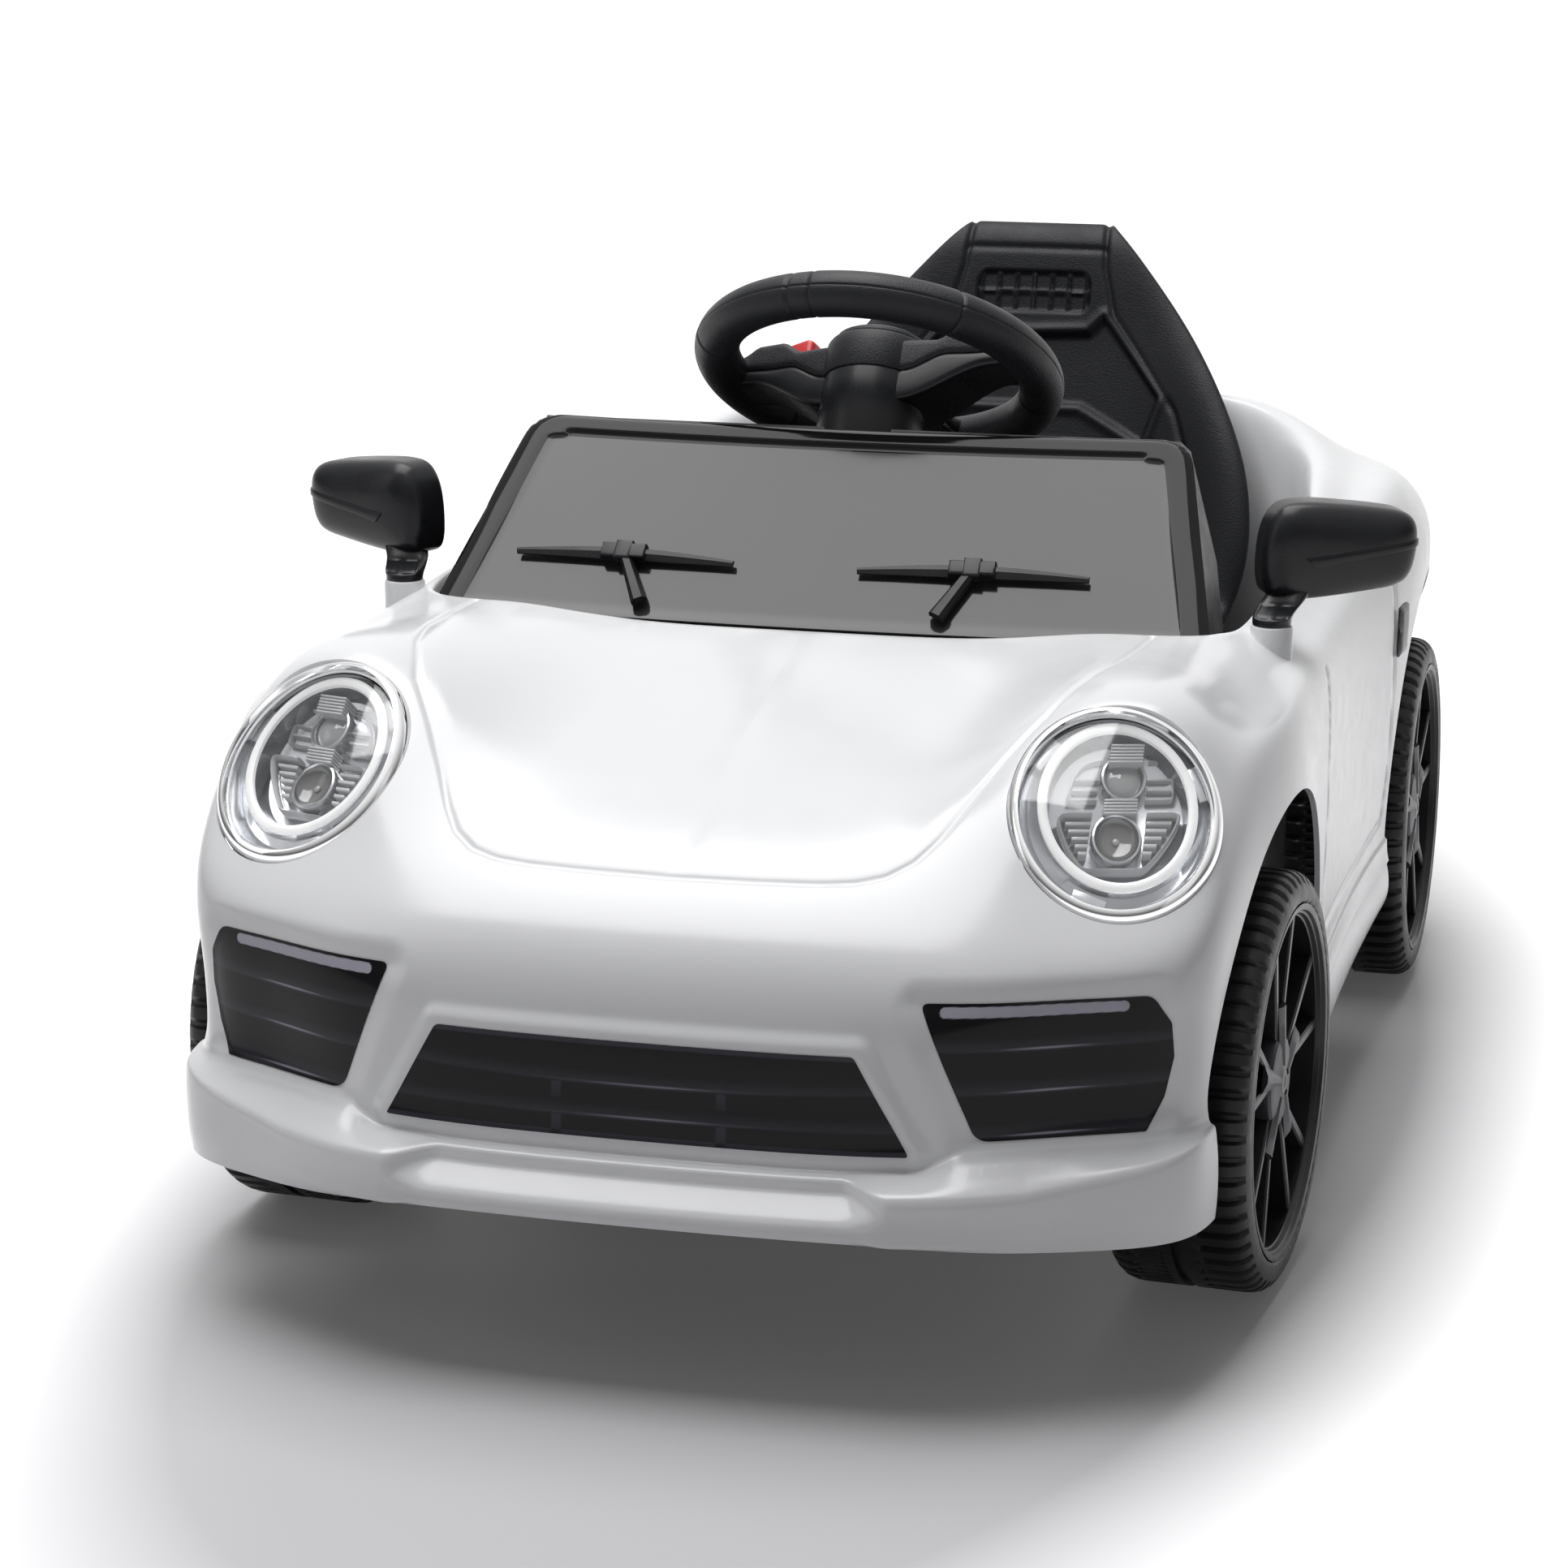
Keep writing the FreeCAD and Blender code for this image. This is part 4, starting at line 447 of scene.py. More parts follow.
lamp_haze = plastic("lamp_haze", (0.36, 0.365, 0.37), 0.1, 0.04, shade=0.12, coat=0.8)
lens_dark = plastic("lens_dark", (0.1, 0.1, 0.1), 0.06, 0.02, shade=0.2, coat=1.0)
tail_red = plastic("tail_red", (0.4, 0.012, 0.012), 0.12, 0.03, 0.03, 700.0, 0.1, coat=0.6)
mirror_face = metal("mirror_face", (0.82, 0.83, 0.85), 0.03, 0.01)
button_red = plastic("button_red", (0.62, 0.02, 0.02), 0.3, 0.05, 0.05, 900.0, 0.06)
steel = metal("steel", (0.55, 0.55, 0.56), 0.32, 0.08, brush=0.06)
nylon = plastic("gear_nylon", (0.62, 0.6, 0.54), 0.42, 0.06, 0.1, 800.0, 0.05)
battery_grey = plastic("battery_grey", (0.13, 0.135, 0.145), 0.48, 0.07, 0.2, 700.0, 0.08)
print_black = print_material("print_black")


# The body skin: half of it, from the nose round the left side to the tail
half_width, half_length, height, lip_reach = 285.0, 512.0, 340.0, 25.0
wall_x = (0.0, 0.193, 0.393, 0.582, 0.734, 0.909, 0.935, 0.949, 0.985, 0.975,
          0.961, 0.954, 0.965, 0.987, 0.977, 0.953, 0.874, 0.712, 0.368, 0.0)
wall_y = (-0.945, -0.945, -0.938, -0.912, -0.862, -0.82, -0.727, -0.605, -0.469, -0.293,
          -0.098, 0.117, 0.332, 0.508, 0.673, 0.829, 0.931, 0.969, 0.982, 0.982)
rim_x = (0.0, 0.154, 0.309, 0.449, 0.561, 0.66, 0.73, 0.768, 0.793, 0.807,
         0.811, 0.811, 0.793, 0.726, 0.691, 0.613, 0.481, 0.316, 0.168, 0.0)
rim_y = (-0.312, -0.312, -0.311, -0.307, -0.303, -0.297, -0.289, -0.279, -0.258, -0.205,
         -0.088, 0.107, 0.312, 0.488, 0.645, 0.758, 0.824, 0.859, 0.871, 0.871)
# Upright sections as shares of reach and of height
nose = ((0.88, 1.0, 1.0, 0.08, 0.0, 0.0, 0.03, 0.13, 0.385, 0.727, 0.95, 1.0, 1.0),
        (0.265, 0.285, 0.332, 0.35, 0.391, 0.506, 0.624, 0.715, 0.785, 0.871, 0.926, 0.926, 0.894))
lamp = ((0.64, 0.8, 0.8, 0.08, -0.23, -0.05, 0.0, 0.19, 0.32, 0.64, 0.95, 1.0, 1.0),
        (0.235, 0.259, 0.359, 0.379, 0.405, 0.532, 0.631, 0.74, 0.988, 0.956, 0.945, 0.942, 0.906))
arch = ((0.16, 0.32, 0.32, 0.04, -0.07, 0.1, -0.11, 0.045, 0.25, 0.6, 0.95, 1.0, 1.0),
        (0.235, 0.259, 0.353, 0.376, 0.416, 0.577, 0.741, 0.882, 0.882, 0.912, 0.932, 0.949, 0.906))
door = ((-0.32, 0.16, 0.28, 0.04, 0.0, 0.12, -0.02, 0.1, 0.42, 0.76, 0.97, 1.02, 1.0),
        (0.212, 0.224, 0.288, 0.329, 0.368, 0.559, 0.75, 0.859, 0.884, 0.923, 0.964, 0.918, 0.294))
haunch = ((-0.32, 0.08, 0.16, 0.04, 0.0, 0.12, -0.04, -0.065, 0.21, 0.55, 0.885, 1.02, 1.25),
          (0.224, 0.247, 0.306, 0.341, 0.382, 0.588, 0.788, 0.856, 0.984, 0.957, 1.022, 0.935, 0.294))
tail = ((0.0, 0.16, 0.24, 0.16, 0.0, 0.0, -0.015, 0.02, 0.225, 0.58, 0.86, 1.02, 1.05),
        (0.282, 0.306, 0.376, 0.441, 0.5, 0.632, 0.771, 0.887, 0.903, 0.995, 1.094, 1.0, 0.294))
# Each station's section is a mix of two
mixes = ([(nose, nose, 0.0)] * 3
         + [(nose, lamp, 0.55), (lamp, lamp, 0.0), (lamp, arch, 0.1), (lamp, arch, 0.6)]
         + [(arch, arch, 0.0)] * 2 + [(arch, door, 0.45)] + [(door, door, 0.0)] * 2
         + [(door, haunch, 0.3)] + [(haunch, haunch, 0.0)] * 2 + [(haunch, tail, 0.4)]
         + [(tail, tail, 0.0)] * 4)
wall_points, lip_top = 6, 133.0


def body_net():
    net = np.zeros((20, 13, 3))
    for i, (first, second, share) in enumerate(mixes):
        wall = np.array([wall_x[i] * half_width, wall_y[i] * half_length])
        rim = np.array([rim_x[i] * half_width, rim_y[i] * half_length])
        outward = (wall - rim) / np.linalg.norm(wall - rim)
        reaches, rises = lerp(np.array(first), np.array(second), share)
        for k, (reach, rise) in enumerate(zip(reaches, rises)):
            place = wall + outward * reach * lip_reach if k < wall_points else lerp(wall, rim, reach)
            net[i, k] = (place[0], place[1], rise * height)
    return net


def runs(parts):
    out = []
    for start, end, count in parts:
        out.extend(np.linspace(start, end, count, endpoint=False))
    return np.array(out + [1.0])


body_u = runs([(0.0, 0.25, 240), (0.25, 0.46, 80), (0.46, 0.72, 90), (0.72, 1.0, 100)])
body_v = runs([(0.0, 0.3, 110), (0.3, 0.5, 60), (0.5, 0.72, 130), (0.72, 0.88, 70), (0.88, 1.0, 26)])

grille_top, grille_bottom, grille_top_half, grille_bottom_half = 176.0, 127.5, 105.0, 132.0
grille_outline = [(-grille_bottom_half, grille_bottom), (grille_bottom_half, grille_bottom),
                  (grille_top_half, grille_top), (-grille_top_half, grille_top)]
fog_outline = [(161, 132.6), (237, 132.2), (244, 148), (248, 168), (247, 186), (239, 200.5), (134, 200.5)]
hood_line = [(0, -428.5), (40, -427.5), (75, -425.5), (92, -423), (106, -418), (118, -408), (127, -394),
             (137, -374), (150, -352), (166, -328), (179, -290), (186, -250), (189, -200), (190, -160)]
door_line = [(-62, 285), (-92, 240), (-100, 190), (-94, 142), (60, 138), (170, 140), (184, 168), (190, 215),
             (196, 262), (196, 290)]
plate_outline = [(-70, 168), (70, 168), (82, 222), (-82, 222)]
tail_outline = rounded([(66, 250), (226, 266), (226, 279), (66, 276)], 5.0)
handle_outline = rounded([(197, 237), (224, 237), (231, 267), (204, 267)], 4.0)
front_y, grille_y, tail_y, plate_y = -300.0, -430.0, 440.0, 420.0


def lip_profile(x, foot_reach, foot_z):
    # Reach and height of the lip from the wall down to its bottom edge, in the middle and at the sides
    f = float(np.clip((258.0 - x) / 73.0, 0.0, 1.0)) ** 0.8
    face = 1.28 * foot_reach
    middle = [(0, lip_top), (0.2, 126), (0.8, 121.5), (2.5, 118.8), (6.5, 117.6), (8.4, 116), (8.8, 113),
              (9, 110.5), (10.8, 108.6), (20.3, 101.5), (22.7, 99), (23.6, 96.5), (23.3, 93)]
    side = [(0, lip_top), (0.6, 131), (1.5, 129.6), (4, 127.8), (1 + face * 0.45, 127.6 - 6.2 * f),
            (face - 2.5, 127.4 - 12.2 * f), (face - 1, 125.5 - 13 * f), (face, 122.5 - 13 * f),
            (face + 0.3, 118 - 12 * f), (face + 0.3, 110 - 8 * f), (face, 102 - 4 * f), (face - 0.5, 95),
            (face - 1.5, 88)]
    upper, lower = float(smooth(134.0, 160.0, x)), float(smooth(100.0, 126.0, x))
    weight = lerp(upper, lower, np.clip((np.arange(len(side)) - 3) / 2.0, 0.0, 1.0))[:, None]
    return np.r_[lerp(np.array(middle), np.array(side), weight), [(foot_reach, foot_z)]]


def shape_lip(grid, us):
    # The stepped lip under the grille and the fog lamp fields
    grid = grid.copy()
    for i in range(len(grid)):
        fade = float(smooth(0.3, 0.25, us[i]))
        if fade <= 0:
            break
        k = int(np.argmax(grid[i, :, 2] > lip_top))
        wall, foot = grid[i, k].copy(), grid[i, 0].copy()
        out = foot[:2] - wall[:2]
        reach = np.linalg.norm(out)
        if k < 4 or reach < 1.0:
            continue
        out /= reach
        points = lip_profile(wall[0], reach, foot[2])
        points[0, 1] = wall[2]
        dense = curve(points, 240)
        run = np.r_[0.0, np.cumsum(np.linalg.norm(np.diff(dense, axis=0), axis=1))]
        place = np.linspace(run[-1], 0.0, k + 1)
        r, z = np.interp(place, run, dense[:, 0]), np.interp(place, run, dense[:, 1])
        new = np.stack([wall[0] + out[0] * r, wall[1] + out[1] * r, z], 1)
        grid[i, :k + 1] = lerp(grid[i, :k + 1], new, fade)
    return grid


def shape_skin(grid, vs):
    x, y, z = grid[..., 0], grid[..., 1], grid[..., 2]
    v = np.broadcast_to(vs[None, :], x.shape)
    wall = v < 0.55
    # The pressed line round the hood, and the hood a little higher inside it
    on_hood = (v > 0.5) & (v < 0.93) & (y < -140)
    groove = -1.3 * peak(line_distance(x, y, hood_line), 1.9)
    crown = 0.8 * smooth(0, 12, inside_distance(x, y, hood_line + [(0, -150)]))
    lift = np.where(on_hood, groove + crown, 0.0)
    # The fog lamp fields set back a little with a soft edge
    field = smooth(-13.0, 2.0, inside_distance(x, z, fog_outline)) * smooth(120.0, 131.0, z)
    lift += np.where((y < front_y) & wall, -3.0 * field, 0.0)
    # The grille field stands proud with soft shoulders
    plateau = smooth(-11.0, -2.5, inside_distance(x, z, grille_outline)) * smooth(116.0, 124.0, z)
    lift += np.where((y < grille_y) & wall, 2.6 * plateau, 0.0)
    # The door lines on the sides
    side = (v > 0.1) & (v < 0.66) & (y > -150) & (y < 200)
    lift += np.where(side, -1.3 * peak(line_distance(y, z, door_line), 2.2), 0.0)
    # The strip along the sill
    sill = (v < 0.4) & (y > -110) & (y < 190)
    lift += np.where(sill, 1.6 * smooth(3.0, 0.5, np.abs(z - 118.0) - 6.0), 0.0)
    # The field for a number plate at the back, left bare, with slots beside it
    back = (y > plate_y) & (v < 0.62)
    lift += np.where(back, -4.0 * smooth(-2.0, 5.0, inside_distance(x, z, plate_outline)), 0.0)
    slots = sum(peak(z - level, 2.6) for level in (176, 189, 202))
    beside = back & (x > 118) & (x < 205)
    lift += np.where(beside, -2.0 * slots * smooth(116, 124, x) * smooth(206, 198, x), 0.0)
    return grid + normals(grid) * lift[..., None]


def skin_part(us, vs):
    # Rows of place and normal over a part of the skin
    grid = surface(body_net(), us, vs)
    if us[0] == 0.0:
        grid[0, :, 0] = 0.0
    if us[-1] == 1.0:
        grid[-1, :, 0] = 0.0
    if vs[0] == 0.0:
        grid = shape_lip(grid, us)
    grid = shape_skin(grid, vs)
    return np.concatenate([grid, normals(grid)], 2).reshape(-1, 6)


skin_data = skin_part(body_u, body_v)
skin_v = np.broadcast_to(body_v[None, :], (len(body_u), len(body_v))).reshape(-1)
skin_faces = sheet(len(body_u), len(body_v))

lamp_turn = turn("z", 16.0) @ turn("x", 48.0) @ np.diag([1.0, 1.15, 1.0])
lamp_place = np.array([209.0, -370.0, 274.0])
lamp_hole = 53.2
front_arch, rear_arch, arch_level, arch_inner_x = (-252.0, 142.0), (335.0, 148.0), 118.0, 204.0
mirror_pivot = np.array([247.5, -122.0, 0.0])
cabin_floor, deck_front = 185.4, 182.0
skin_depth, print_lift, print_depth, rib_pitch = 3.0, 0.45, 0.6, 8.0


def arch_value(data, centre_y, radius):
    y, z = data[:, 1] - centre_y, data[:, 2] - arch_level
    value = np.where(z > 0, np.hypot(y, z), np.abs(y)) - radius
    return np.where(data[:, 0] < arch_inner_x, far_in, value)


def lamp_value(data):
    local = (data[:, :3] - lamp_place) @ np.linalg.inv(lamp_turn).T
    value = np.hypot(local[:, 0], local[:, 1]) - lamp_hole
    return np.where(np.abs(local[:, 2]) > 45, far_in, value)


def tail_value(data):
    return np.where(data[:, 1] > tail_y, inside_distance(data[:, 0], data[:, 2], tail_outline), far_out)


def cabin_value(data):
    return np.where(data[:, 6] > 0.9, np.maximum(data[:, 2] - cabin_floor, deck_front - data[:, 1]), far_in)


def make_body():
    data = np.concatenate([skin_data, skin_v[:, None]], 1)
    faces = skin_faces
    for value_of in (lambda d: arch_value(d, *front_arch), lambda d: arch_value(d, *rear_arch), lamp_value,
                     lambda d: -tail_value(d), cabin_value):
        data, faces = clip(data, faces, value_of(data))
    data, faces = flange(data, faces, skin_depth)
    boss = [(0.0, 321.4), (9.8, 321.4), (11.0, 320.8), (11.5, 319.6), (11.5, 285.0)]
    boss = revolve_at(mirror_pivot, boss, 40)
    boss = (boss[0], [tuple(reversed(f)) for f in boss[1]])
    verts, faces = both(*joined([(data[:, :3], faces), boss]))
    build("body_skin", verts, faces, white, "car", "white_body", ["body_shell"], 38.0, weld=True)


make_body()


def skin_piece(name, data, faces, depth, material, slot, stands_for):
    # A piece cut from the skin, with its edges turned in, on both sides of the car
    data, faces = flange(data, faces, depth)
    verts, faces = both(data[:, :3], faces)
    return verts, build(name, verts, faces, material, "car", slot, stands_for)


def make_tail():
    data, faces = clip(skin_data, skin_faces, tail_value(skin_data))
    data[:, :3] += data[:, 3:6] * 0.4
    ribs = 0.5 * np.cos(data[:, 0] * tau / rib_pitch)
    data[:, :3] += data[:, 3:6] * ribs[:, None]
    skin_piece("tail_lenses", data, faces, skin_depth, tail_red, "tail_red", ["tail_lights"])


make_tail()


# Printed fog lamp and grille fields
def fog_tone(x, z):
    x = np.abs(x)
    tone = 0.92 * smooth(2.9, 2.5, line_distance(x, z, [(146, 196.4), (226, 196.4)]))
    for level in (178.0, 156.5, 135.0):
        tone = np.maximum(tone, (0.16 + 0.62 * peak(x - 193.0, 24.0)) * peak(z - level, 0.9))
        tone = np.maximum(tone, 0.2 * smooth(level + 7, level, z) * smooth(level - 1, level, z))
    return tone


def grille_tone(x, z):
    tone = 0.32 * smooth(173.2, 174.2, z)
    for level, bend in ((155.2, 0.00022), (138.8, 0.00004)):
        line = level + bend * x * x
        tone = np.maximum(tone, (0.14 + 0.5 * peak(x - 6.0, 46.0)) * peak(z - line, 0.9))
        tone = np.maximum(tone, 0.17 * smooth(line + 6.5, line, z) * smooth(line - 1, line, z))
    post = np.abs(np.abs(x) - 41.5)
    for low, high in ((146.5, 154.0), (127.0, 137.5)):
        bar = smooth(2.5, 1.9, post) * smooth(low - 0.5, low, z) * smooth(high + 0.5, high, z)
        tone = np.maximum(tone, 0.26 * bar * smooth(low - 6, high, z))
    return np.maximum(tone, 0.27 * smooth(130.4, 129.6, z) * smooth(1.5, 2.5, post))


def make_print(name, outline, us, vs, tone_of):
    grid = skin_part(us, vs)
    value = np.where(grid[:, 1] < front_y, inside_distance(grid[:, 0], grid[:, 2], outline), far_out)
    data, faces = clip(grid, sheet(len(us), len(vs)), value)
    data[:, :3] += data[:, 3:6] * print_lift
    verts, obj = skin_piece(name, data, faces, print_depth, print_black, "decal_black", ["front_decals"])
    layer = obj.data.attributes.new("tone", "FLOAT", "POINT")
    layer.data.foreach_set("value", np.asarray(tone_of(verts[:, 0], verts[:, 2]), np.float32))


make_print("fog_prints", rounded(fog_outline, [10, 1, 8, 10, 8, 8, 3]), np.linspace(0.07, 0.27, 330),
           np.linspace(0.12, 0.52, 300), fog_tone)
make_print("grille_print", rounded(grille_outline, [1, 1, 4, 4]), np.linspace(0.0, 0.16, 280),
           np.linspace(0.1, 0.46, 260), grille_tone)


def make_handles():
    x, y, z = skin_data[:, 0], skin_data[:, 1], skin_data[:, 2]
    value = np.where((x > 230) & (skin_v < 0.7), inside_distance(y, z, handle_outline), far_out)
    data, faces = clip(skin_data, skin_faces, value)
    d = inside_distance(data[:, 1], data[:, 2], handle_outline)
    data[:, :3] += data[:, 3:6] * (0.6 + 2.0 * np.sqrt(np.clip(d, 0, 4.0) / 4.0))[:, None]
    skin_piece("handle_covers", data, faces, print_depth, trim_satin, "black_trim", ["handle_trims"])


make_handles()


# Windshield, as half width, y and z at its foot and top, and its bow
glass_foot, glass_top, glass_bow = np.array([226.0, -150.0, 312.0]), np.array([190.0, -52.0, 407.0]), 14.0
glass_rise = glass_top - glass_foot
pane_margin = 15.5


def glass_point(across, t):
    half, y, z = lerp(glass_foot, glass_top, t)
    return np.array([across * half, y - glass_bow * (1 - across * across), z])


def make_glass():
    net = np.array([[glass_point(2 * i / 6 - 1, j / 3) for j in range(4)] for i in range(7)])
    nu, nv = 260, 130
    grid = surface(net, np.linspace(0, 1, nu), np.linspace(0, 1, nv))
    n = normals(grid)
    if n[nu // 2, nv // 2, 2] < 0:
        n = -n
    x, z = grid[..., 0], grid[..., 2]
    length = np.hypot(glass_rise[1], glass_rise[2])
    share = (z - glass_foot[2]) / glass_rise[2]
    foot, top = glass_foot[0], glass_top[0]
    half = lerp(foot, top, share)
    outline = rounded([(-foot, -30), (foot, -30), (top, length), (-top, length)], [1, 1, 24, 24], 10)
    d = inside_distance(x, share * length, outline)
    rim = np.where(np.abs(x) > half - 26, 14.0, 10.0)
    level = 4.0 - 2.6 * quarter_round(d, 5.0)
    level -= 1.6 * smooth(rim, rim + 3.5, d) * smooth(-2.0, 10.0, share * length)
    pos = grid + n * level[..., None]
    data = np.concatenate([pos, n, d[..., None]], 2).reshape(-1, 7)
    faces = sheet(nu, nv)
    i, j = nu // 2, nv // 2
    if np.cross(pos[i + 1, j] - pos[i, j], pos[i, j + 1] - pos[i, j]) @ n[i, j] < 0:
        faces = [tuple(reversed(f)) for f in faces]
    data, faces = clip(data, faces, data[:, 6] - 0.05)
    verts, rim_faces = flange(*clip(data, faces, pane_margin - data[:, 6]), 9.0)
    build("glass_rim", verts, rim_faces, gloss_black, "car", "black_gloss", ["windshield"])
    verts, pane_faces = flange(*clip(data, faces, data[:, 6] - pane_margin), 1.5)
    build("glass_pane", verts, pane_faces, smoke, "car", "black_gloss", ["windshield"])


make_glass()


def make_wiper(side):
    lean = math.atan2(glass_rise[2], glass_rise[1])
    across = (90.0 if side > 0 else 118.0) / glass_foot[0]
    centre = glass_point(across, 0.3) + np.array([0, -math.sin(lean), math.cos(lean)]) * 4.0
    slew = math.degrees(math.atan(glass_bow * 2 * across / glass_foot[0]))
    blade = []
    for x in np.linspace(-64, 64, 41):
        w = 4.2 * (1 - 0.55 * abs(x / 64) ** 1.6)
        h = 5.6 * (1 - 0.5 * abs(x / 64) ** 1.5)
        bow = -1.6 * (x / 64) ** 2
        row = ((-w, 0.0), (-w, h * 0.35), (-w * 0.35, h), (w * 0.35, h), (w, h * 0.35), (w, 0.0))
        blade.append([(x, y + bow, z) for y, z in row])
    arm = []
    for t in np.linspace(0, 1, 9):
        w, h = lerp(3.2, 4.6, t), lerp(6.6, 5.4, t)
        row = ((-w, 0.3), (-w, h * 0.6), (-w * 0.5, h), (w * 0.5, h), (w, h * 0.6), (w, 0.3))
        arm.append([(x, -t * 35.0, z) for x, z in row])
    arm_verts, arm_faces = loft(arm, around=False)
    verts, faces = joined([loft(blade, around=False), box_slab(-13, 13, -4.6, 4.6, 0.5, 6.9, 1.4),
                           box_slab(-5, 5, -6.0, 6.0, 0.5, 7.4, 1.4),
                           (placed(arm_verts, turn("z", -28.0)), arm_faces)])
    verts = placed(verts, turn("z", slew) @ turn("x", math.degrees(lean)), centre)
    return mirrored(verts, faces) if side < 0 else (verts, faces)


wiper_mesh = joined([make_wiper(1), make_wiper(-1)])
build("wiper_pair", *wiper_mesh, trim_satin, "car", "black_trim", ["wipers"], 30.0, recalc=True)


# Headlamps, drawn about the lamp's own axis with the lens towards +z
lamp_back, fitting_lean, fitting_shift = -17.5, 0.18, 2.3


def lamp_build(name, parts, material, slot, node):
    verts, faces = joined(parts)
    build_pair(name, placed(verts, lamp_turn, lamp_place), faces, material, ("car", "car"), slot, node, 40.0)


def fin_stack(half, y0, y1, rise, count):
    step = (y1 - y0) / count
    rows = [y0 + step * k for k in range(count)]
    return [box_slab(-half, half, y, y + step * 0.62, -17.0, rise - 17.0, 0.4) for y in rows]


def ovals(rings, count=96):
    # A closed skin through ovals given by centre, half sizes and height
    a = full_turn(count)
    loops = []
    for cx, cy, rx, ry, z in rings:
        loops.append(np.c_[cx + rx * np.cos(a), cy + ry * np.sin(a), np.full(count, z)])
    return np.stack(loops, 1).reshape(-1, 3), sheet(count, len(rings), True, True)


def ridge(points, radius, high):
    # A thin wall along a line of points, from the back plate up
    half = (high - lamp_back) / 2
    path = np.c_[curve(points, 90), np.full(90, lamp_back + half)]
    side = np.cross(np.gradient(path, axis=0), (0.0, 0.0, 1.0))
    side *= radius / np.linalg.norm(side, axis=1, keepdims=True)
    loops = [path + side * math.cos(a) + np.array([0, 0, half * math.sin(a)]) for a in full_turn(8)]
    return loft(np.stack(loops, 1))


def lamp_fittings():
    lower = [(13.4, 5.0), (20.0, 5.0), (27.0, 5.2), (29.4, 4.0), (29.2, 0.5), (26.5, -6.0), (22.0, -13.5),
             (17.5, -19.0), (14.6, -21.4), (11.0, -21.6)]
    upper = [(11.5, 32.4), (18.5, 31.8), (23.6, 26.0), (25.4, 19.0), (25.4, 14.0), (24.8, 13.2), (11.8, 13.2)]
    parts = [ridge([(-x, y) for x, y in lower] + lower[::-1], 1.1, -7.6)]
    parts += fin_stack(8.3, 28.0, 37.6, 12.5, 6) + fin_stack(8.3, 4.6, 12.4, 9.5, 5)
    for side in (-1, 1):
        bars = [(13.6, 26.0 + (y - 1) * 0.57, y, 0.8, -10.5, 0.4) for y in (1.4, -2.2, -5.8, -9.4, -13.0)]
        bars += [(12.0, 24.4, y, 0.5, -13.0, 0.3) for y in (18.4, 23.4)]
        for near, far, y, half, top, bevel in bars:
            x0, x1 = sorted((side * near, side * far))
            parts.append(box_slab(x0, x1, y - half, y + half, lamp_back, top, bevel))
        parts.append(ridge([(side * x, y) for x, y in upper], 0.55, -12.0))
    # The fittings stand upright in the car, so they lean across the slanted lamp
    lean = np.array([[1.0, fitting_lean, 0.0], [0.0, 1.0, 0.0], [0.0, 0.0, 1.0]])
    return [(placed(v, lean, (fitting_shift, 0.0, 0.0)), f) for v, f in parts]


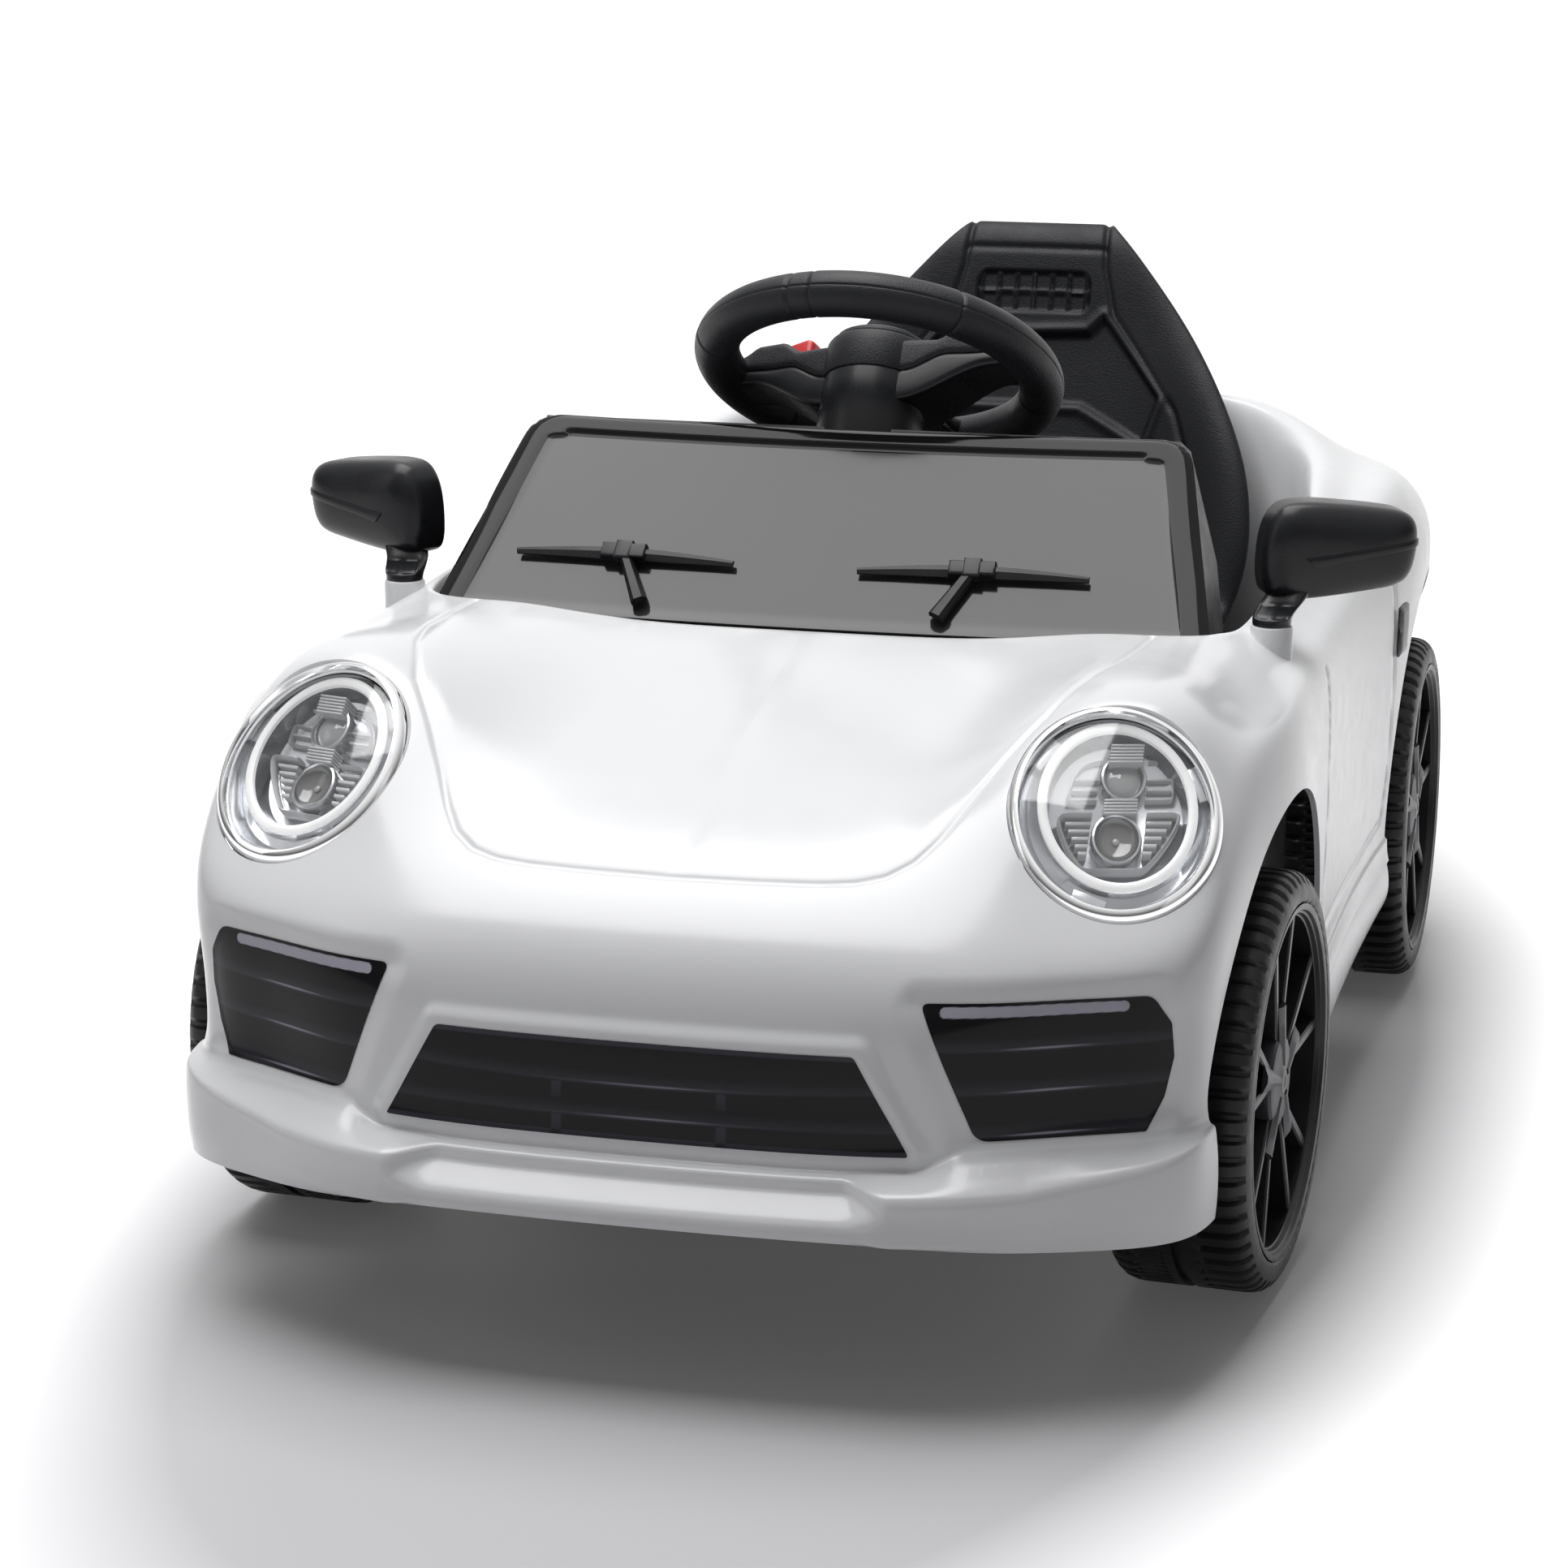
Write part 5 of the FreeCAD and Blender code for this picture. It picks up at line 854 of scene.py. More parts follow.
def make_lamps():
    ring = []
    for a in full_turn(120):
        low = 0.5 - 0.5 * math.sin(a)
        inner = 47.4 - 2.4 * low
        rise = 5.0 + 1.4 * low
        section = [(53.0, -16.0), (53.0, -1.0), (52.7, 1.2), (51.4 - 0.6 * low, rise * 0.72),
                   (49.6 - 1.4 * low, rise), (48.9 - 1.9 * low, rise), (inner + 0.6, rise * 0.6),
                   (inner, 1.5), (inner, -6.0)]
        ring.append([(r * math.cos(a), r * math.sin(a), z) for r, z in section])
    bezel = (np.array(ring).reshape(-1, 3), sheet(120, 9, True, True))
    lamp_build("lamp_bezel", [bezel], chrome, "chrome", "headlamp_bezel")
    lens_radius = 46.8
    dome = [(lens_radius, -1.5), (lens_radius, 0.6)]
    for t in np.linspace(0, 1, 14)[1:]:
        r = lens_radius * math.cos(t * math.pi / 2)
        dome.append((max(r, 0.0), 0.6 + 5.2 * (1 - (r / lens_radius) ** 2)))
    under = [(r * 0.985, z - 1.6) for r, z in reversed(dome[1:])]
    lamp_build("lamp_lens", [revolve(dome + under, 96)], lamp_clear, "lamp_glass", "headlamp_lens")
    # The bowl dips between the bezel and the halo, then drops to the back plate
    bowl = [ovals([(0.0, 0.0, 46.9, 46.9, -0.6), (0.1, 0.3, 46.3, 46.3, -3.0), (0.9, 2.7, 43.2, 43.6, -7.5),
                   (1.5, 4.6, 40.6, 41.4, -6.0), (1.7, 5.1, 39.4, 40.6, -3.4), (1.8, 5.3, 34.4, 35.8, -3.4),
                   (1.8, 5.3, 33.8, 35.2, -8.0), (1.9, 5.4, 33.0, 34.4, -16.0), (1.9, 5.4, 30.0, 31.4, -17.2),
                   (1.9, 5.4, 0.5, 0.5, -17.6), (1.9, 5.4, 0.5, 0.5, -20.0), (1.6, 4.4, 37.0, 38.0, -20.0),
                   (0.5, 1.5, 46.4, 46.6, -9.5)])]
    for angle in (-111.0, 19.0, 138.0):
        a = math.radians(angle)
        v, f = box_slab(-8.5, 8.5, -2.2, 2.2, -9.0, -2.8, 0.6)
        centre = (43.0 * math.cos(a) + 0.8, 43.0 * math.sin(a) + 2.0, 0.0)
        bowl.append((placed(v, turn("z", angle + 90.0), centre), f))
    lamp_build("lamp_bowl", bowl, reflector, "lamp_inner", "headlamp_cup")
    halo = [(39.5, 40.7, -3.6), (39.3, 40.5, -2.0), (38.2, 39.4, -1.2), (36.2, 37.5, -1.0),
            (34.9, 36.3, -1.7), (34.4, 35.8, -3.6)]
    halo = ovals([(1.8, 5.3, *row) for row in halo])
    lamp_build("lamp_halo", [halo], lamp_white_painted_glow, "lamp_inner", "headlamp_cup")
    lamp_build("lamp_frame", lamp_fittings(), lamp_frost, "lamp_inner", "headlamp_cup")
    barrels = []
    for r, y in ((12.6, -6.4), (11.6, 22.8)):
        centre = np.array([fitting_shift + fitting_lean * y, y, 0.0])
        barrel = [(r, -18.0), (r, -11.0), (r - 0.6, -9.6), (r - 1.6, -9.2), (r - 2.4, -10.2),
                  (r - 2.6, -14.6), (0.0, -14.6)]
        barrels.append(revolve_at(centre, barrel, 56))
        eye = [(r - 2.5, -10.6), (r - 3.4, -12.0), (r - 6.0, -13.4), (3.0, -14.3), (0.0, -14.4)]
        name, material = "lamp_eye_lower", lens_dark
        if y > 0:
            eye = [(r - 2.5, -13.4)]
            eye += [((r - 2.5) * math.cos(t), -13.4 + 3.6 * math.sin(t)) for t in np.linspace(0.1, 1.57, 9)]
            name, material = "lamp_eye_upper", lamp_haze
        lamp_build(name, [revolve_at(centre, eye, 48)], material, "lamp_inner", "headlamp_projectors")
        if y < 0:
            chip = revolve_at(centre, [(1.7, -14.5), (1.7, -13.6), (1.4, -13.3), (0.0, -13.2)], 32)
            lamp_build("lamp_chip", [chip], lamp_haze, "lamp_inner", "headlamp_projectors")
    lamp_build("lamp_projector", barrels, reflector, "lamp_inner", "headlamp_projectors")


make_lamps()


# Mirrors, drawn about the inboard end of the housing and then swept back
mirror_outline = [(3.0, -25.2), (18.0, -26.6), (37.0, -25.2), (60.0, -22.4), (76.2, -20.0), (82.2, -14.0),
                  (84.8, -4.5), (85.9, 4.5), (85.0, 14.8), (78.7, 20.6), (64.0, 23.2), (44.0, 25.6),
                  (24.0, 27.4), (11.0, 26.2), (4.2, 18.8), (0.8, 9.0), (-0.6, -4.0), (-0.4, -17.5)]
mirror_middle, mirror_half = np.array([43.0, 0.0]), np.array([43.0, 27.0])
mirror_front, mirror_side, mirror_back = -17.6, -2.0, 15.6
mirror_sweep, mirror_place, dome_rings = 24.0, (238.4, -105.0, 358.0), 46
band_in, band_out, band_tip = 23.0, 85.0, 85.2


def cut_corners(points, times):
    # A smooth closed line
    p = np.array(points, float)
    for _ in range(times):
        after = np.roll(p, -1, 0)
        p = np.stack([lerp(p, after, 0.25), lerp(p, after, 0.75)], 1).reshape(-1, 2)
    return p


def mirror_rings():
    # Loops from the front of the housing to its back, each with its depth
    loop = cut_corners(mirror_outline, 4) - mirror_middle
    rings = []
    for a in np.radians(np.linspace(1.0, 90.0, dome_rings)):
        share = np.array([math.sin(a) ** 0.5, math.sin(a) ** 0.85])
        depth = lerp(mirror_side, mirror_front, max(math.cos(a), 0.0) ** 0.8)
        rings.append((mirror_middle + loop * share, depth))
    rim = [(0.0, 4.0), (0.0, 10.6)]
    for a in np.radians(np.linspace(80, 15, 6)):
        rim.append((5.0 * (1 - math.sin(a)), mirror_back - 5.0 * (1 - math.cos(a))))
    for amount, depth in rim + [(6.6, 15.4), (7.6, 14.0)]:
        rings.append((mirror_middle + loop * (1 - amount / mirror_half), depth))
    return rings


def mirror_band(rings):
    # The raised band along the front, from near the inboard end round the outer tip
    xs = np.linspace(band_in, band_out, 70)
    ts = (band_out - xs) / (band_out - band_in)
    zs = lerp(4.0, -4.4, ts) + 1.4 * ts * (1 - ts)
    held = np.array([inside_distance(xs, zs, loop) for loop, depth in rings[:dome_rings]])
    path = []
    for x, z, t, near in zip(xs, zs, ts, held.T):
        k = int(np.argmax(near > 0.0)) if near.max() > 0.0 else dome_rings - 1
        share = near[k] / (near[k] - near[k - 1]) if k and near[k] > 0.0 else 0.0
        path.append((x, lerp(rings[k][1], rings[k - 1][1], share), z, lerp(1.9, 2.6, t)))
    path = [p for p in path if p[1] < mirror_side - 0.4]
    path = np.array(path + [(band_tip, y, 4.0, 1.9) for y in (-1.0, 2.0, 5.0, 8.0)])
    run = np.gradient(path[:, :2], axis=0)
    run /= np.linalg.norm(run, axis=1, keepdims=True)
    band = []
    for (x, y, z, half), (run_x, run_y) in zip(path, run):
        slant = 0.9 * float(smooth(36.0, 26.0, x))
        edge = ((half + 0.5, -1.4), (half, 0.55), (half * 0.7, 0.9))
        row = edge + tuple((-high, out) for high, out in reversed(edge))
        band.append([(x + run_y * out - slant * high, y - run_x * out, z + high) for high, out in row])
    return loft(band, around=False)


def mirror_stalk():
    # A round foot that leans back and outward under the housing, with two pockets in front
    stations = [(321.75, 247.5, -122.0, 10.4, 10.4), (323.0, 247.5, -122.0, 10.5, 10.5),
                (326.0, 247.7, -121.0, 10.6, 10.2), (329.0, 249.0, -114.0, 11.0, 9.2),
                (333.0, 252.0, -103.0, 11.6, 8.6), (344.0, 258.0, -97.0, 12.0, 8.0)]
    steps = 48
    around = full_turn(96)
    loops = []
    for t, (z, x, y, half_x, half_y) in zip(np.linspace(0, 1, steps), curve(stations, steps)):
        power = lerp(1.0, 0.62, float(smooth(0.1, 0.5, t)))
        across = np.sign(np.cos(around)) * np.abs(np.cos(around)) ** power
        deep = np.sign(np.sin(around)) * np.abs(np.sin(around)) ** power
        span = np.abs(across)
        pocket = smooth(0.1, 0.2, span) * smooth(0.86, 0.74, span) * (deep < 0)
        pocket = pocket * float(smooth(0.3, 0.38, t) * smooth(0.78, 0.7, t))
        loops.append(np.c_[x + half_x * across, y + half_y * deep + 1.6 * pocket, np.full(len(around), z)])
    return loft(loops)


def make_mirrors():
    rings = mirror_rings()
    shell = loft([np.c_[loop[:, 0], np.full(len(loop), depth), loop[:, 1]] for loop, depth in rings])
    parts = [(placed(v, turn("z", mirror_sweep), mirror_place), f) for v, f in (shell, mirror_band(rings))]
    verts, faces = joined(parts + [mirror_stalk()])
    bodies = ("mirror_l", "mirror_r")
    build_pair("mirror_cover", verts, faces, trim_satin, bodies, "black_trim", "mirror", 34.0)


make_mirrors()


# Steering wheel, drawn in the column's own frame, turned as it is at rest
rest_turn = -14.5
column_turn = turn("x", -34.5) @ turn("z", rest_turn)
column_place = np.array([0.0, -2.0, 433.0])
ring_radius, grip_radius, grip_band = 94, 13.0, 3.7


def column_build(name, parts, material, body, slot, stands_for, sharp=38.0):
    verts, faces = joined(parts)
    verts = placed(verts, column_turn, column_place)
    return build(name, verts, faces, material, body, slot, stands_for, sharp, recalc=True)


def make_grip():
    # The rim's tube, with seams across it and a parting line along it
    a = full_turn(720)[:, None]
    across = np.r_[np.linspace(10, 346, 42), 350, 353, 355, 356.5, 358, 359.5, 361, 362.5, 364, 366]
    b = np.radians(across)[None, :]
    deg = np.degrees(a)
    seams = (-90 - grip_band, -90 + grip_band, -90 - 52, -90 + 52, 152, 28)
    cut = np.max([peak(nearest(deg - seam, 360), 0.5) for seam in seams], axis=0)
    band = np.abs(nearest(deg + 90, 360)) < grip_band
    r = grip_radius - 1.1 * cut - 0.12 * band - 0.7 * peak(across[None, :] - 358.0, 2.2)
    out = ring_radius + r * np.cos(b)
    ring = np.stack([out * np.cos(a), out * np.sin(a), r * np.sin(b)], 2)
    grip = (ring.reshape(-1, 3), sheet(720, len(across), True, True))
    column_build("wheel_grip_ring", [grip], wheel_grip, "steering", "black_trim", ["steering_wheel"], 50.0)


def spoke(side, places, half, low, high):
    # A beam along x, or along y where the side is zero, with rounded edges
    rows = []
    for place, w, z0, z1 in zip(places, half, low, high):
        ring = rounded([(-w, z0), (w, z0), (w, z1), (-w, z1)], 4.5, 5)
        along, across = np.full(len(ring), place), ring[:, 0]
        if side:
            rows.append(np.c_[side * along, across + 3.0, ring[:, 1]])
        else:
            rows.append(np.c_[across, along, ring[:, 1]])
    return loft(rows)


def make_steering():
    make_grip()
    # A grained cover over a smooth back, with a wavy joint between them
    t = np.linspace(0, 1, 25)
    places = lerp(22.0, 87.0, t)
    half = lerp(23.5, 15.0, t) + 2.0 * smooth(0.85, 1.0, t)
    joint = lerp(-11.5, -1.5, smooth(0.05, 0.45, t)) + 1.5 * smooth(0.6, 1.0, t)
    crest = 8.0 + 7.5 * smooth(0.32, 0.55, t) * smooth(1.0, 0.78, t)
    bottom = lerp(-30.0, -9.0, smooth(0.0, 0.85, t))
    cover = [revolve([(0.0, 12.0), (27.6, 12.0), (29.8, 11.2), (31.0, 9.0), (31.5, 4.0), (31.6, -10.4),
                      (31.2, -11.4), (29.8, -11.6), (0.0, -11.6)], 72)]
    back = [revolve([(0.0, -9.0), (30.0, -9.0), (30.6, -14.0), (30.4, -57.0), (29.4, -59.4), (27.0, -60.0),
                     (0.0, -60.0)], 72)]
    for side in (-1, 1):
        cover.append(spoke(side, places, half, joint, crest))
        back.append(spoke(side, places, half - 1.0, bottom, joint + 1.5))
    places = lerp(20.0, 86.0, t)
    half = lerp(15.0, 13.0, t) + 3.0 * smooth(0.8, 1.0, t)
    cover.append(spoke(0, places, half, np.full(25, -3.0), np.full(25, 7.0)))
    back.append(spoke(0, places, half - 1.0, lerp(-18.0, -7.0, smooth(0.0, 0.9, t)), np.full(25, -1.5)))
    column_build("wheel_hub", cover, wheel_grip, "steering", "black_trim", ["steering_wheel"])
    column_build("wheel_back", back, trim_satin, "steering", "black_trim", ["steering_wheel"])
    pad = [(0.0, 11.0), (27.0, 11.0), (27.4, 13.2), (26.6, 15.4), (24.0, 17.0), (20.0, 17.6), (18.6, 17.2),
           (18.0, 16.7), (17.4, 17.2), (8.0, 17.9), (0.0, 18.0)]
    pad = revolve(pad, 64)
    column_build("wheel_hub_pad", [pad], wheel_grip, "steering", "black_gloss", ["hub_pad"], 30.0)
    outline = rounded([(-9.5, -8.0), (9.5, -10.0), (9.5, 8.0), (-9.5, 8.0)], 4.0, 5)
    for side, name in ((-1, "horn"), (1, "music")):
        v, f = slab(outline, 2.4, 21.5, 2.0)
        v[:, 2] -= np.where(v[:, 2] > 10.0, 0.25 * np.abs(v[:, 0] + 4.0 * side), 0.0)
        cap = (v + np.array([side * 52.0, 4.0, 0.0]), f)
        column_build(name + "_cap", [cap], button_red, name, "red_button", [name + "_button"])


make_steering()


# Seat: depth, height, width and wing along it, then place and wing across it, as shares
seat_y = (0.0, 0.0, 0.06, 0.27, 0.46, 0.59, 0.65, 0.72, 0.79, 0.86, 0.91, 0.95, 1.0)
seat_z = (0.405, 0.435, 0.452, 0.442, 0.434, 0.46, 0.55, 0.66, 0.765, 0.86, 0.945, 0.995, 1.0)
seat_w = (0.84, 0.86, 0.88, 0.9, 0.92, 0.95, 1.0, 0.97, 0.83, 0.66, 0.46, 0.33, 0.3)
seat_b = (0.0, 0.1, 0.35, 0.6, 0.75, 1.0, 1.0, 0.9, 0.6, 0.25, 0.05, 0.0, 0.0)
seat_c = (-1.0, -0.93, -0.72, -0.45, 0.0, 0.45, 0.72, 0.93, 1.0)
seat_r = (0.75, 1.0, 0.45, 0.0, 0.0, 0.0, 0.45, 1.0, 0.75)
seat_front, seat_depth, seat_top, seat_half, seat_wing, seat_wall = 212.0, 256.0, 468.0, 168.0, 44.0, 14.0
seat_panel = [(50, 408), (92, 360), (82, 330), (38, 352), (0, 352), (0, 396), (40, 398)]
seat_crease = [(46, 470), (48, 440), (56, 410), (104, 352), (120, 310), (124, 262)]
seat_pad = [(0, 250), (92, 250), (80, 318), (40, 332), (0, 332)]
vent_z = 424.0


def seat_net():
    net = np.zeros((9, 13, 3))
    for i, (across, rise) in enumerate(zip(seat_c, seat_r)):
        for k in range(13):
            low, high = max(k - 1, 0), min(k + 1, 12)
            run_y = (seat_y[high] - seat_y[low]) * seat_depth
            run_z = (seat_z[high] - seat_z[low]) * seat_top
            lift = seat_wing * seat_b[k] * rise / math.hypot(run_y, run_z)
            net[i, k] = (across * seat_w[k] * seat_half, seat_front + seat_y[k] * seat_depth - lift * run_z,
                         seat_z[k] * seat_top + lift * run_y)
    return net


def seat_relief(x, y, z):
    back = smooth(238, 262, z)
    # Vent grid, side panels with their rib, and creases on the back rest
    vent = 8.0 - np.hypot(np.maximum(x - 31.0, 0.0), np.maximum(np.abs(z - vent_z) - 5.0, 0.0))
    bars = np.clip(peak(nearest(x, 12.0), 1.1) + peak(z - vent_z, 1.1), 0, 1)
    lift = 2.2 * bars * smooth(0.5, 2.0, vent) - 3.0 * smooth(-1.0, 2.0, vent)
    panel = inside_distance(x, z, seat_panel)
    lift += (1.8 * peak(panel + 3.0, 3.0) - 3.0 * smooth(-1.5, 3.0, panel)) * back
    lift -= 1.8 * peak(line_distance(x, z, seat_crease), 2.2) * back
    lift -= 1.4 * peak(line_distance(x, z, [(0, 452), (46, 452)]), 2.2) * back
    # Channels moulded in the lower pad and the cushion
    pad = inside_distance(x, z, seat_pad)
    channels = peak(nearest(x, 34.0), 2.0)
    lift += np.where(back > 0.02, 2.6 * smooth(0, 9, pad) - 2.0 * channels * smooth(2, 8, pad), 0.0) * back
    cushion = (1 - back) * smooth(226, 240, y)
    lift -= cushion * 2.0 * peak(nearest(x, 40.0), 2.2) * smooth(104, 96, x)
    return lift - cushion * 2.2 * peak(x - 108.0, 2.6)


def make_seat():
    nu, nv = 220, 300
    u, v = np.linspace(0, 1, nu), np.linspace(0, 1, nv)
    grid = surface(seat_net(), u, v)
    n = normals(grid)
    if n[nu // 2, nv // 2, 1] > 0:
        n = -n
    lift = seat_relief(np.abs(grid[..., 0]), grid[..., 1], grid[..., 2])
    # Rounded edge
    span = np.abs(grid[-1, :, 0] - grid[0, :, 0])[None, :] / 2
    edge = np.minimum((1 - np.abs(2 * u - 1))[:, None] * span, np.minimum(v, 1 - v)[None, :] * 700.0)
    drop = 7.0 * quarter_round(edge, 7.0)
    front = grid + n * (lift - drop)[..., None]
    rear = grid - n * (seat_wall - drop)[..., None]
    f = sheet(nu, nv)
    count = nu * nv
    loop = [i * nv for i in range(nu)] + [(nu - 1) * nv + j for j in range(1, nv)]
    loop += [i * nv + nv - 1 for i in range(nu - 2, -1, -1)] + [j for j in range(nv - 2, 0, -1)]
    faces = f + [tuple(k + count for k in reversed(q)) for q in f]
    faces += [(a, b, b + count, a + count) for a, b in zip(loop, loop[1:] + loop[:1])]
    parts = [(np.concatenate([front.reshape(-1, 3), rear.reshape(-1, 3)]), faces)]
    for side in (-1, 1):
        parts.append(box_slab(side * 90 - 10, side * 90 + 10, 240, 330, 185.2, 200.0, 2.0))
    verts, faces = joined(parts)
    build("seat_bucket", verts, faces, seat_skin, "car", "seat_black", ["seat"], 45.0, recalc=True)


make_seat()


# Wheels, drawn about the axle along +x with the outer face at the half width
wheel_half, wheel_radius, wheel_x = 39.0, 110.0, 246.0
axle_y = {"front": -255.0, "rear": 333.0}
king_pin_x, steer_share = 172.0, 4.0


def tyre_mesh():
    slots, per = 60, 10
    half = wheel_half
    wall = [(half - 1.5, 93.0), (half, 94.5), (half, 97.0), (half - 0.2, 100.0), (half - 1.2, 103.5),
            (half - 3.2, 106.5), (half - 6.0, 108.6), (half - 9.5, 109.7), (half - 13.0, wheel_radius)]
    xs = np.linspace(half - 15.0, 3.5, 12)
    xs = np.r_[xs, 2.6, 2.2, 1.4, -1.4, -2.2, -2.6, -xs[::-1]]
    tread = [(x, 107.0 if abs(x) < 2.3 else wheel_radius) for x in xs]
    x, r = np.array(wall + tread + [(-a, r) for a, r in reversed(wall)]).T
    place = np.arange(slots * per)[:, None]
    a = tau * place / len(place)
    phase = place % per / per
    wide = smooth(0.56, 0.64, phase) * smooth(0.98, 0.9, phase)
    thin = place % (per // 2) / (per // 2) > 0.55
    # Wide bars on both shoulders and thin ones on the inner half
    outer = 3.0 * wide * smooth(10.0, 13.0, x) * smooth(half - 0.4, half - 4.0, x)
    inner = 1.8 * thin * smooth(-7.0, -9.0, x) * smooth(-24.0, -22.0, x)
    inner = np.maximum(inner, 2.6 * wide * smooth(-25.0, -27.0, x) * smooth(0.4 - half, 4.0 - half, x))
    r = r - np.where(x > 0, outer, inner)
    rings = np.stack([np.broadcast_to(x, r.shape), r * np.cos(a), r * np.sin(a)], 2)
    return rings.reshape(-1, 3), sheet(len(place), len(x), True)


def wheel_turned(profile, count):
    # A shape revolved about the axle
    v, f = revolve(profile, count)
    return np.stack([v[:, 2], v[:, 0], v[:, 1]], 1), f


def rim_mesh():
    parts = [wheel_turned([(92.9, 38.8), (91.6, 39.0), (89.6, 38.4), (88.9, 36.6), (87.8, 36.2), (87.2, 34.0),
                           (86.2, 33.6), (86.0, 20.0), (84.6, 8.0), (84.0, -20.0), (86.0, -39.0),
                           (92.9, -39.0)], 120),
             wheel_turned([(6.2, 25.0), (20.0, 25.0), (21.0, 23.5), (21.0, -37.0), (19.5, -39.0),
                           (6.2, -39.0)], 60)]
    # Five pairs of spokes
    for angle, sign in ((90 + 72 * pair, sign) for pair in range(5) for sign in (-1, 1)):
        a0, a1 = math.radians(angle + sign * 9.0), math.radians(angle + sign * 14.0)
        start = np.array([math.cos(a0), math.sin(a0)]) * 19.5
        end = np.array([math.cos(a1), math.sin(a1)]) * 88.0
        run = (end - start) / np.linalg.norm(end - start)
        side = np.array([-run[1], run[0]])
        rows = []
        for t in np.linspace(0, 1, 9):
            front, deep = lerp(31.8, 33.6, t), lerp(16.0, 20.0, t)
            w0, w1 = lerp(2.4, 3.0, t), lerp(3.6, 4.2, t)
            row = ((-w1, front - deep), (-w0, front - 1.0), (-w0 + 0.9, front), (w0 - 0.9, front),
                   (w0, front - 1.0), (w1, front - deep))
            rows.append([(depth, *(lerp(start, end, t) + side * across)) for across, depth in row])
        parts.append(loft(rows, caps=False))
    return joined(parts)


def cap_mesh():
    parts = [wheel_turned([(0.0, 34.9), (3.0, 34.9), (3.6, 35.2), (6.4, 35.2), (7.0, 34.9), (19.0, 34.2),
                           (23.0, 33.2), (24.6, 31.8), (25.0, 30.0), (25.0, 25.2), (16.0, 25.2)], 60)]
    rows = []
    for t in np.linspace(0, 1, 10):
        r, w = lerp(9.0, 41.0, t), lerp(4.0, 7.0, t ** 1.3)
        crest, edge = lerp(35.6, 34.6, t), lerp(33.6, 32.4, t)
        row = ((31.6, -w), (edge, -w), (crest, -w * 0.25), (crest, w * 0.25), (edge, w), (31.6, w))
        rows.append([(depth, across, r) for depth, across in row])
    v, f = loft(rows)
    return joined(parts + [(placed(v, turn("x", 72.0 * pair)), f) for pair in range(5)])


def make_wheels():
    pieces = (("tyre", tyre_mesh(), tyre, "tyre_black", 42.0),
              ("rim", rim_mesh(), rim_black, "rim_black", 32.0),
              ("cap", cap_mesh(), cap_grey, "cap_grey", 25.0))
    for end in ("front", "rear"):
        for side, label in ((1, "left"), (-1, "right")):
            body = "wheel_" + end[0] + label[0]
            for kind, (verts, f), material, slot, sharp in pieces:
                v = verts + np.array([wheel_x, axle_y[end], wheel_radius])
                if side < 0:
                    v, f = mirrored(v, f)
                if end == "front":
                    pivot = np.array([side * king_pin_x, axle_y[end], 0.0])
                    v = placed(v - pivot, turn("z", rest_turn / steer_share), pivot)
                build(kind + "_cover_" + end + "_" + label, v, f, material, body, slot,
                      [end + "_" + kind + "_" + label], sharp, recalc=True)


make_wheels()


# Materials on the CAD nodes that stay
finishes = (
    (battery_grey, "battery control_box"),
    (trim_black, "charging_socket dashboard pedal"),
    (pan_black, "chassis_pan column_bracket gearbox_case gearbox_cover pedal_base"),
    (button_red, "direction_rocker power_button"),
    (nylon, "drive_gear idler_gear"),
    (mirror_face, "mirror_glass_left mirror_glass_right"),
    (steel, "body_screws front_beam knuckle_left knuckle_right motor motor_pinion rear_axle rear_nuts"),
    (steel, "steering_shaft tie_rod"),
)
for material, names in finishes:
    for name in names.split():
        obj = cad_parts[name]
        if not obj.material_slots:
            obj.data.materials.append(material)
        for place in obj.material_slots:
            place.material = material


# Floor, light and camera
def node(tree, kind, operation=None):
    made = tree.nodes.new(kind)
    if operation:
        made.operation = operation
    return made


def maximum(tree, a, b):
    made = node(tree, "ShaderNodeMath", "MAXIMUM")
    tree.links.new(a, made.inputs[0])
    tree.links.new(b, made.inputs[1])
    return made.outputs[0]


def seen_rays(tree):
    # One for rays from the camera or through glass, and one for those and glossy rays
    path = node(tree, "ShaderNodeLightPath")
    clear = maximum(tree, path.outputs["Is Camera Ray"], path.outputs["Is Transmission Ray"])
    return clear, maximum(tree, clear, path.outputs["Is Glossy Ray"])


